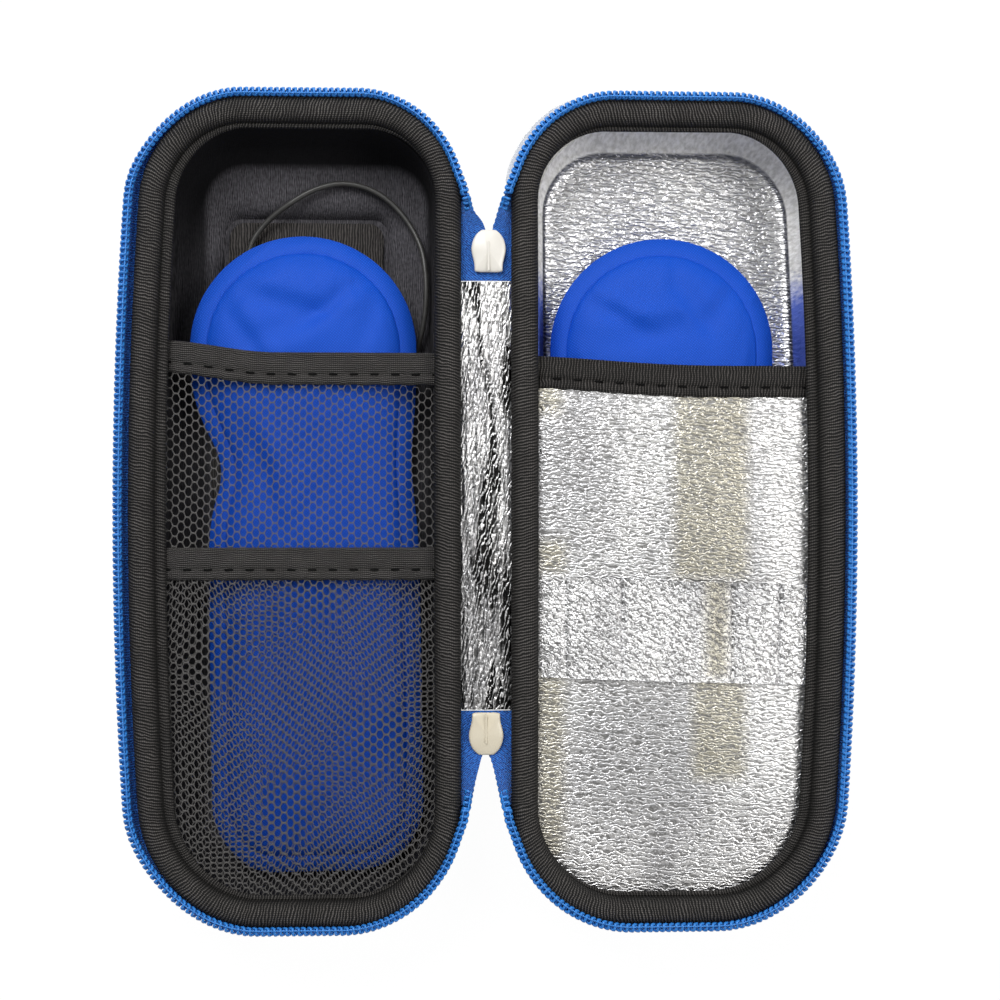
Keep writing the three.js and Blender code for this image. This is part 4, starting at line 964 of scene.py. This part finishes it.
def slider_parts(x, y, turn):
    """Two domed plates on a post, a ridge on the upper one and a bridge under the lower one."""
    half = np.array(SHIELD_SHARES) * (SLIDER_HALF, SLIDER_REACH)
    plan = smooth(np.vstack([half, half[-2:0:-1] * (-1, 1)]), 4, closed=True)

    def plate(foot, rows):
        return lofted([lifted(plan * share, foot + SLIDER_PLATE * rise) for share, rise in rows])

    def block(width, depth, low, high, middle=0.0):
        corner = min(width, depth) * 0.3
        return shifted(prism(rounded(width, depth, corner, 3), low, high), (0, middle, 0))
    upper = SLIDER_MIDDLE + THROAT / 2
    lower = SLIDER_MIDDLE - THROAT / 2 - SLIDER_PLATE
    bowl = [(share, 1 - rise) for share, rise in DOME_SHARES][::-1]
    ridge = block(0.42, 7.0, upper + 0.8, upper + 1.56, -1.4)
    post = block(1.6, 2.2, lower + 0.6, upper + 0.6, 3.1)
    legs = [block(1.4, 0.9, lower - 1.9, lower + 0.5, middle) for middle in (2.15, -2.15)]
    bridge = block(1.4, 5.2, lower - 2.4, lower - 1.5)
    parts = [plate(upper, DOME_SHARES), plate(lower, bowl), ridge, post, *legs, bridge]
    return [(points * (turn, turn, 1) + (x, y, 0), faces, uvs) for points, faces, uvs in parts]


for end, x, y, turn in (("top", TOP_X, 63.2, 1), ("bottom", BOTTOM_X, -53.9, -1)):
    slider = made_of(f"slider_{end}_enamelled", slider_parts(x, y, turn), enamel_finish, 50)
    settle(slider, f"slider_{end}", [f"slider_{end}"])
dress(["pull_top", "pull_bottom"], enamel_finish, 0.2)

# Hinge
# A strip of creased foil inside and a plain skin outside, sewn under both bindings. Each is made as two
# sheets that meet at the middle.
HINGE_REACH, HINGE_TUCK = 8.4, 5.6
hinge_foil_finish = foil("foil_hinge", 0.95, (1.2, 3.4), (0.95, -0.3), 0.14, 0.1, 0.5, 0.47)


def hinge_sheet(side, low_z, high_z, creased):
    """A sheet from the middle to under one binding, where it dips. The foil's creases are two sines across
    X, which run along Y and wander by two slow sines."""
    ys = np.linspace(SPINE_BOTTOM, SPINE_TOP, 140)
    x, y = np.meshgrid(np.linspace(0, HINGE_REACH, 29), ys)
    creases = np.zeros_like(x)
    if creased:
        wander = 0.5 * np.sin(y / 9.0) + 0.35 * np.sin(y / 4.1 + 1)
        creases = 0.16 * np.sin((x * side + wander) * 2.6)
        creases += 0.1 * np.sin((x * side - wander * 1.6) * 5.1 + y / 14)
        creases *= np.clip((HINGE_REACH - x) / 2.5, 0, 1)
    base = low_z - np.maximum(x - HINGE_TUCK, 0) * 0.35
    top = np.stack([x * side, y, base + (high_z - low_z) + creases], -1)
    under = np.stack([x * side, y, base + np.minimum(creases, 0)], -1)
    return lofted([np.vstack([above, below[::-1]]) for above, below in zip(top, under)])


for side, half in HALVES:
    sheet = made_of(f"hinge_foil_{half}", [hinge_sheet(side, 23.1, 23.7, True)], hinge_foil_finish)
    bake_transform(sheet)
    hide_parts(f"{half}_hinge_flap", *(["hinge_foil"] if side > 0 else []))
    skin = made_of(f"hinge_skin_{half}", [hinge_sheet(side, 22.1, 22.6, False)], skin_finish)
    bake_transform(skin)
    if side > 0:
        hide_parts("hinge_cover")

# Net pockets
# Two pockets of black hexagonal net, a tall one and a short one over it, each hemmed with a tape.
NET_COLUMN = 1.54
NET_PITCH = 2.48
NET_YARN = 0.3
NET_INSET, CALM_INSET = 4.6, 6
HOLE = (0.88, 1.08)
HEM = 6.2
SWELL_HEIGHT = 0.75
TALL_MOUTH, SHORT_MOUTH = 38.6, -8.7


def swell(x, y):
    """How far the pockets stand out over the pack behind them, at a place in the half's frame: full over
    the pack's middle and falling off by powers of the way to its sides and ends."""
    across = np.clip(1 - np.abs((x - 38.2) / 33) ** 2.5, 0, 1)
    along = np.clip(1 - np.abs((y + 25) / 76) ** 4, 0, 1)
    return SWELL_HEIGHT * across * along


def tall_mouth(x):
    """The tall pocket's mouth: level over the pack and drawn up towards the far side by a smooth step."""
    t = np.clip((x - 45) / 28, 0, 1)
    return TALL_MOUTH + 2.9 * t * t * (3 - 2 * t)


def short_mouth(x):
    """The short pocket's mouth is level."""
    return SHORT_MOUTH + 0 * x


def within(points, inset):
    """Whether points lie inside the half's plan at an inset: a ray from each crosses the plan an odd number
    of times."""
    a = outline(inset)
    b = np.roll(a, -1, 0)
    x, y = points[:, :1], points[:, 1:2]
    climb = np.where(b[:, 1] == a[:, 1], 1, b[:, 1] - a[:, 1])
    crossing = a[:, 0] + (y - a[:, 1]) / climb * (b[:, 0] - a[:, 0])
    return (((a[:, 1] > y) != (b[:, 1] > y)) & (x < crossing)).sum(1) % 2 == 1


def net_part(top, foot, phase):
    """A knitted net: six-sided cells in staggered columns, each with a rounded hole in a ring of twelve
    quads. The net is drawn a little out of true, as a stretched one is, by slow sines that a phase
    shifts."""
    side, tip = NET_PITCH / 2, NET_COLUMN * 2 / 3
    cell = [(tip, 0), (tip / 2, side), (-tip / 2, side), (-tip, 0), (-tip / 2, -side), (tip / 2, -side)]
    cell = np.array(cell)
    cell = np.stack([cell, (cell + np.roll(cell, -1, 0)) / 2], 1).reshape(-1, 2)
    turns = np.arctan2(cell[:, 1], cell[:, 0])
    hole = 0.5 * cell * 0.84 + 0.5 * np.column_stack([np.cos(turns), np.sin(turns)]) * HOLE
    columns, rows = int(HALF_WIDTH / NET_COLUMN) + 2, int(HALF_LENGTH / NET_PITCH / 2) + 1
    places = [(c, r + (c % 2) / 2) for r in range(-rows, rows) for c in range(columns)]
    centres = np.array(places) * (NET_COLUMN, NET_PITCH)
    keep = within(centres, NET_INSET) & (centres[:, 1] < top(centres[:, 0]) - HEM - 1)
    points, faces, seen = [], [], {}
    for centre in centres[keep]:
        outer = []
        for place in centre + cell:
            key = (round(place[0] * 40), round(place[1] * 40))
            if key not in seen:
                seen[key] = len(points)
                points.append(place)
            outer.append(seen[key])
        first = len(points)
        points.extend(centre + hole)
        for k in range(len(cell)):
            after = (k + 1) % len(cell)
            faces.append([outer[k], outer[after], first + after, first + k])
    x, y = np.array(points).T
    calm = within(np.column_stack([x, y]), CALM_INSET).astype(float)
    slope = 0.06 * (x - HALF_WIDTH / 2) * np.clip((y + 95) / 120, 0, 1)
    drawn_x = x + 0.5 * np.sin(y / 15 + x / 19 + phase)
    drawn_y = y + (slope + 0.6 * np.sin(x / 11 - y / 26 + phase)) * calm
    z = foot + swell(x, y) + 0.14 * np.sin(x / 4.6 + phase) * np.sin(y / 6.5 - x / 9)
    return placed((np.column_stack([drawn_x, np.minimum(drawn_y, top(x) - HEM), z]), faces, None), -1)


net_finish, shader = finish_of("net", (0.03, 0.03, 0.03), 0.45, Alpha=0.56, Specular_IOR_Level=0.3)
yarn = noise_of(place_of(shader), 2600)
relief(shader, yarn, 0.06)
paint(shader, yarn, (0.04, 0.038, 0.037), (0.2, 0.193, 0.185))

# Name, mouth, foot above the seam, node, phase, and flat length in metres.
NETS = [("tall_net", tall_mouth, 0.2, "tall_net_pocket", 0.0, 0.127),
        ("short_net", short_mouth, 0.9, "short_net_pocket", 1.9, 0.08)]
for name, top, foot, node_name, phase, long in NETS:
    net = made_of(name, [net_part(top, SEAM + foot, phase)], net_finish, 180)
    body = net.modifiers.new("yarn", "SOLIDIFY")
    body.thickness = NET_YARN * MM
    body.offset = 0
    settle(net, "front_case", [node_name])

# Pocket tapes
# The hemming tapes of the pocket mouths: folded black tape with a stitched line along the lower third.
BAND = 7.9
BAND_THICK = 0.95
BAND_START, BAND_END = 3.6, 76.4
STITCH, STITCH_PITCH = 1.9, 5.0
# Shares of the band's width and thickness from its corded upper edge over the pinched seam to its lower
# edge.
BAND_SHARES = [(0, 0.0), (0.01, 0.5), (0.04, 0.9), (0.07, 0.98), (0.1, 0.86), (0.14, 0.98), (0.18, 0.88),
               (0.24, 1.0), (0.5, 0.98), (0.6, 0.92), (0.655, 0.6), (0.68, 0.52), (0.705, 0.6), (0.76, 0.94),
               (0.88, 1.0), (0.95, 0.9), (0.985, 0.5), (1.0, 0.0)]


def sagging(top, x, dip):
    """A mouth line that sags by a dip at its middle, as a squared sine."""
    return top(x) - dip * math.sin(math.pi * (x - BAND_START) / (BAND_END - BAND_START)) ** 2


def foil_mouth(x):
    """The foil pocket's mouth falls a little towards the far side."""
    return 38.2 - 0.035 * x


def band_part(top, foot, side, dip):
    """A tape across the half below a mouth line: corded at its upper edge, pinched along the seam at two
    thirds, and swelling with the pocket."""
    loops = []
    for x in np.linspace(BAND_START, BAND_END, 130):
        ruck = 0.1 * math.sin(x * 1.14)
        y = sagging(top, x, dip)
        base = foot + swell(x, y - BAND / 2)
        ring = [(x, y - BAND * t - ruck * t, base + BAND_THICK * h) for t, h in BAND_SHARES]
        ring += [(x, y - BAND * t, base) for t in (0.9, 0.5, 0.1)]
        loops.append(ring)
    return placed(lofted(loops), side)


def stitches(top, foot, side, dip):
    """Stitches along the seam, each a short bar sunk at its ends."""
    parts = []
    for x in np.arange(6, 75, STITCH_PITCH):
        y = sagging(top, x, dip) - BAND * 0.68
        slope = (sagging(top, x + 1, dip) - sagging(top, x - 1, dip)) / 2
        along = np.linspace(-STITCH / 2, STITCH / 2, 7)
        arch = 0.66 + 0.14 * np.cos(along * math.pi / STITCH)
        path = np.column_stack([x + along, y + slope * along, foot + swell(x, y) + arch])
        parts.append(placed(tube(path, 0.25, 6), side))
    return parts


corded_finish = grosgrain("pocket_tape", 0.5, 0, 0.0, (0.012, 0.011, 0.011), (0.15, 0.142, 0.135))
ribbed_finish = grosgrain("foil_pocket_tape", 0.72, 1, 0.05, BLACK, (0.1, 0.092, 0.086))
thread_finish, shader = finish_of("thread", (0.006, 0.006, 0.006), 0.9, Specular_IOR_Level=0.02)
twist = noise_of(place_of(shader), 3000, 1.0)
relief(shader, twist, 0.05)
paint(shader, twist, (0.003, 0.003, 0.003), (0.012, 0.012, 0.012))

# Name, mouth, foot above the seam, side, dip at the middle and finish.
BANDS = [("tall", tall_mouth, 0.02, -1, 0.0, corded_finish),
         ("short", short_mouth, 0.72, -1, 0.0, corded_finish),
         ("foil", foil_mouth, 0.25, 1, 0.9, ribbed_finish)]
for name, top, foot, side, dip, finish in BANDS:
    body = "front_case" if side < 0 else "back_case"
    band = made_of(f"{name}_mouth_tape", [band_part(top, SEAM + foot, side, dip)], finish, 50)
    settle(band, body, [f"{name}_pocket_band"])
    seam = made_of(f"{name}_mouth_stitches", stitches(top, SEAM + foot, side, dip), thread_finish, 60)
    settle(seam, body, [])

# Foil pocket and pen loops
# A sheet of creased foil sewn under the binding, slack over the pack behind it, and a foil band sewn to it
# at four seams so that pens slip through.
POCKET_TOP, POCKET_BEND, POCKET_FOOT = 34, -70, -95.5
POCKET_INSET = 4.2
POCKET_SHEET = 0.3
LOOP_SEAMS = [13.2, 26.7, 53, 64.7]
LOOP_TOP, LOOP_HEIGHT, LOOP_SLOPE = -15.6, 24.4, -0.034
LOOP_SHEET = 0.5
# Painted warm reflections and painted oval shades on the foil: a middle and half a width and height each, in
# millimetres.
WARM_REFLECTIONS = [(55, 7, 8.6, 23), (57, -52, 6, 13), (15.5, -62, 3, 22), (16, -11, 2.8, 3.5), (15, 29, 3, 5)]
SHADE_OVALS = [(37, -60, 17, 22), (22, 10, 9, 12)]
LOOP_WARM_REFLECTIONS = [(56.2, -28, 2.4, 12)]
pocket_finish = foil("foil_pocket", 0.85, (2.2, 1.2), (0.05, 0.8), patches=WARM_REFLECTIONS, dims=SHADE_OVALS)
loop_finish = foil("foil_loops", 0.95, (1.1, 1.1), (0.32, 0.46), 0.15, 0.2, patches=LOOP_WARM_REFLECTIONS)


def slack(x, y):
    """The foil pocket's swell: over the pack, with slow dents where the sheet is slack."""
    dents = 0.22 * np.sin(x / 9 + y / 21) * np.sin(y / 13 - x / 31)
    middle = HALF_WIDTH / 2
    return swell(x, y) * 1.5 + dents * np.clip((middle - np.abs(x - middle)) / 12, 0, 1)


def foil_pocket_part():
    """Rows across the half from the mouth tape down to the foot, each clipped to the half's plan."""
    straight = np.linspace(POCKET_TOP, POCKET_BEND, 90)
    ys = np.concatenate([straight, np.linspace(POCKET_BEND - 1.5, POCKET_FOOT, 34)])
    plan = outline(POCKET_INSET)
    x, y = plan[np.lexsort(plan.T)].T
    near, far = x < HALF_WIDTH / 2, x >= HALF_WIDTH / 2
    rows = []
    for y, left, right in zip(ys, np.interp(ys, y[near], x[near]), np.interp(ys, y[far], x[far])):
        xs = np.linspace(left, right, 60)
        lift = np.clip(np.minimum(xs - left, right - xs) / 6, 0, 1) ** 0.5
        tucked = min(max((32 - y) / 8, 0), 1)
        z = SEAM + 0.2 + (slack(xs, y) * tucked + 0.15) * lift
        low = np.column_stack([xs, np.full(60, y), z])
        rows.append(np.vstack([low + (0, 0, POCKET_SHEET), low[::-1]]))
    return placed(lofted(rows), 1)


foil_pocket = made_of("foil_pocket_sheet", [foil_pocket_part()], pocket_finish, 70)
settle(foil_pocket, "back_case", ["foil_pocket"])


def loop_band_part():
    """The band stands up in flat arches between its seams, dips into each of them and ends flat."""
    xs = np.linspace(7.4, 71.2, 200)
    lift = np.full_like(xs, 0.25)
    for a, b in zip(LOOP_SEAMS[:-1], LOOP_SEAMS[1:]):
        t = np.clip((xs - a) / (b - a), 0, 1)
        lift += 0.75 * np.sin(math.pi * t) ** 0.5
    for place in LOOP_SEAMS:
        lift -= 0.5 * np.exp(-((xs - place) / 0.45) ** 2)
    rows = []
    for share in np.linspace(0, 1, 30):
        y = LOOP_TOP + LOOP_SLOPE * xs - LOOP_HEIGHT * share
        edge = 0.2 * math.exp(-(min(share, 1 - share) * LOOP_HEIGHT / 0.7) ** 2)
        low = np.column_stack([xs, y, SEAM + 0.75 + slack(xs, y) + lift])
        rows.append(np.vstack([low + (0, 0, LOOP_SHEET + edge), low[::-1]]))
    return placed(lofted(rows), 1)


pen_loops = made_of("pen_loop_band", [loop_band_part()], loop_finish, 70)
settle(pen_loops, "back_case", ["pen_loops"])

# Ice packs
# Gel packs in coated blue nylon: two faces welded together in a flat edge and swollen by the gel between
# them.
PACK_WIDTH = 55.6
PACK_TOP, PACK_BOTTOM = 67.8, -88.8
PACK_FOOT, PACK_HEIGHT = 10.0, 11.4
PACK_CORNER = 17
WAIST = 1.6
WELD, WELD_THICK = 3.5, 0.8
SLACK_SHARE = 0.86
RIM_BAND = 1.3
LAST_FRAME = 20
# Insets in shares of the weld's width, with shares of the pack's half height.
PILLOW_SHARES = [(1, 0), (1.25, 0.2), (1.7, 0.45), (2.3, 0.68), (3, 0.82), (5.5, 0.97), (7.4, 1.0)]


def pack_plan(inset):
    """A round head, straight sides drawn in at the waist, and a foot with wide corners."""
    radius = PACK_WIDTH / 2
    head, corner = radius - inset, max(PACK_CORNER - inset, 2)
    head_y, foot_y = PACK_TOP - radius, PACK_BOTTOM + inset + corner
    turn = np.linspace(0, math.pi, 60)
    side_y = np.linspace(head_y, foot_y, 50)[1:-1]
    points = [np.column_stack([head * np.cos(turn), head_y + head * np.sin(turn)]),
              np.column_stack([np.full(len(side_y), -head), side_y])]
    for sign, start in ((-1, 1.0), (1, 1.5)):
        turn = np.linspace(start, start + 0.5, 24) * math.pi
        x = sign * (head - corner) + corner * np.cos(turn)
        points.append(np.column_stack([x, foot_y + corner * np.sin(turn)]))
    points.append(np.column_stack([np.full(len(side_y), head), side_y[::-1]]))
    plan = np.vstack(points)
    plan[:, 0] *= 1 - WAIST / radius * np.exp(-((plan[:, 1] - 11.1) / 13.9) ** 2)
    return plan


def pillow(seam_z, rows, half):
    """Loops over the pack's two faces, from the middle of the lower one round the weld to that of the upper
    one. The rows give insets and shares of a half height."""
    faces = {}
    for sign in (-1, 1):
        heights = [WELD_THICK / 2 + half * share for _, share in rows]
        faces[sign] = [lifted(pack_plan(inset), seam_z + sign * z) for (inset, _), z in zip(rows, heights)]
    return faces[-1][::-1] + faces[1]


# Soft folds in the faces: the place and direction of each, its length, width and depth.
FOLDS = {-1: [(-9.7, 51.5, 2.5, 9, 2.3, 1.5), (5, 53, 0.25, 12, 3.4, 1.2), (14, 46, 1.0, 10, 3.0, 1.1),
              (-17, 44, 1.9, 8, 2.6, 0.9), (2, 44, 2.8, 12, 3.4, 0.9), (10, 8, 1.2, 14, 4, 1.2),
              (8, -30, 1.4, 26, 5, 0.9)],
         1: [(-12, 50, -0.5, 9, 2.5, 1.4), (2, 60, 1.5, 5, 1.8, 0.8), (14, 53, 0.9, 8, 2.6, 1.1),
             (-3, 46, 0.2, 12, 3.6, 1.0), (6, 50, 2.2, 8, 2.6, 0.9)]}


def folded(co, side, seam_z, half):
    """Raises the folds in the upper face of a pack: the height goes up on one side of a fold's line and
    down on the other, as the slope of a bell does. The front pack is also drawn in along its far side."""
    x, y = co[:, 0], co[:, 1]
    share = np.clip((co[:, 2] - seam_z) / half, 0, 1)
    for x0, y0, turn, length, width, depth in FOLDS[side]:
        u = (x - x0) * -math.sin(turn) + (y - y0) * math.cos(turn)
        v = (x - x0) * math.cos(turn) + (y - y0) * math.sin(turn)
        step = u / width * np.exp(0.5 - (u / width) ** 2) * np.exp(-(v / length) ** 2)
        co[:, 2] += depth * share * (step - 0.4 * np.exp(-(u / width) ** 2 - (v / length) ** 2))
    if side < 0:
        pinch = 2.6 * np.exp(-((y - 12) / 9) ** 2) + 3.7 * np.clip((32 - y) / 26, 0, 1)
        co[:, 0] -= pinch * np.clip(x / 24, 0, 1)
    return co


def inflate(piece, pressure, cap, voxel):
    """Remeshes a closed piece, swells it by cloth pressure with its rim held, and applies the result. No
    point moves by more than the cap in millimetres."""
    remesh = piece.modifiers.new("remesh", "REMESH")
    remesh.mode = "VOXEL"
    remesh.voxel_size = voxel * MM
    ready = piece.evaluated_get(bpy.context.evaluated_depsgraph_get())
    mesh = bpy.data.meshes.new_from_object(ready)
    piece.modifiers.clear()
    piece.data = mesh
    before = np.array([v.co for v in mesh.vertices])
    cloth = piece.modifiers.new("swell", "CLOTH")
    settings = cloth.settings
    settings.use_pressure = True
    settings.uniform_pressure_force = pressure
    settings.quality = 6
    settings.mass = 0.1
    settings.tension_stiffness = 25
    settings.compression_stiffness = 6
    settings.bending_stiffness = 0.05
    settings.effector_weights.gravity = 0
    group = piece.vertex_groups.new(name="rim")
    rim = np.flatnonzero(np.abs(before[:, 2] - before[:, 2].mean()) < RIM_BAND * MM)
    group.add([int(i) for i in rim], 1.0, "REPLACE")
    settings.vertex_group_mass = "rim"
    for number in range(1, LAST_FRAME + 1):
        bpy.context.scene.frame_set(number)
    ready = piece.evaluated_get(bpy.context.evaluated_depsgraph_get())
    after = np.array([v.co for v in ready.data.vertices])
    piece.modifiers.clear()
    bpy.context.scene.frame_set(1)
    step = after - before
    length = np.linalg.norm(step, axis=1)[:, None]
    moved = before + step * np.minimum(1, cap * MM / np.maximum(length, 1e-9))
    mesh.vertices.foreach_set("co", moved.ravel())
    mesh.update()


nylon_finish, shader = finish_of("pack_nylon", (0.02, 0.11, 0.7), 0.6, Specular_IOR_Level=0.25)
bias = {"Vector": place_of(shader), "Rotation": (0, 0, math.radians(38))}
where = node(shader.id_data, "ShaderNodeMapping", bias).outputs[0]
woven = threads_of(where, 620, "X", Distortion=0.4) * threads_of(where, 620, "Y", Distortion=0.4)
crease = abs(noise_of(where, 38, 1.5, (1, 0.45, 1), 1.2) - 0.5)
relief(shader, woven + crease * -26, 0.07)
paint(shader, woven, (0.002, 0.06, 0.46), (0.006, 0.11, 0.7))

seam_z = PACK_FOOT + PACK_HEIGHT / 2
half_height = (PACK_HEIGHT - WELD_THICK) / 2
for side, half, offset, lean in ((-1, "front", -1.8, math.radians(0.9)), (1, "back", -2.0, 0.0)):
    rows = [(WELD * inset, share) for inset, share in PILLOW_SHARES]
    faces = pillow(seam_z, rows, half_height * SLACK_SHARE)
    pack = made_of(f"{half}_gel_pack", [lofted(faces)], nylon_finish, 180)
    inflate(pack, pressure=4.0, cap=1.6, voxel=1.7)
    rounding = pack.modifiers.new("smooth", "SUBSURF")
    rounding.levels = rounding.render_levels = 1
    faces = pillow(seam_z, [(0, 0), (WELD + 0.8, 0)], 0)
    weld = made_of(f"{half}_gel_pack_weld", [lofted(faces)], nylon_finish, 180)
    turn = np.array([[math.cos(lean), -math.sin(lean)], [math.sin(lean), math.cos(lean)]])
    for piece in (pack, weld):
        co = folded(np.array([v.co for v in piece.data.vertices]) / MM, side, seam_z, half_height)
        proud = 1.6 * np.clip((co[:, 1] - 8) / 10, 0, 1)
        co[:, 2] = np.clip(co[:, 2], PACK_FOOT + 0.05, PACK_FOOT + PACK_HEIGHT + proud)
        co[:, :2] = co[:, :2] @ turn
        co[:, 0] = side * (SPINE_HALF + co[:, 0] + HALF_WIDTH / 2 + offset)
        piece.data.vertices.foreach_set("co", (co * MM).ravel())
        if side < 0:
            piece.data.flip_normals()
        piece.data.polygons.foreach_set("use_smooth", np.ones(len(piece.data.polygons), bool))
        piece.data.update()
    pack.data.materials.clear()
    pack.data.materials.append(nylon_finish)
    settle(pack, f"{half}_pack", [f"{half}_ice_pack"])
    settle(weld, f"{half}_pack", [])
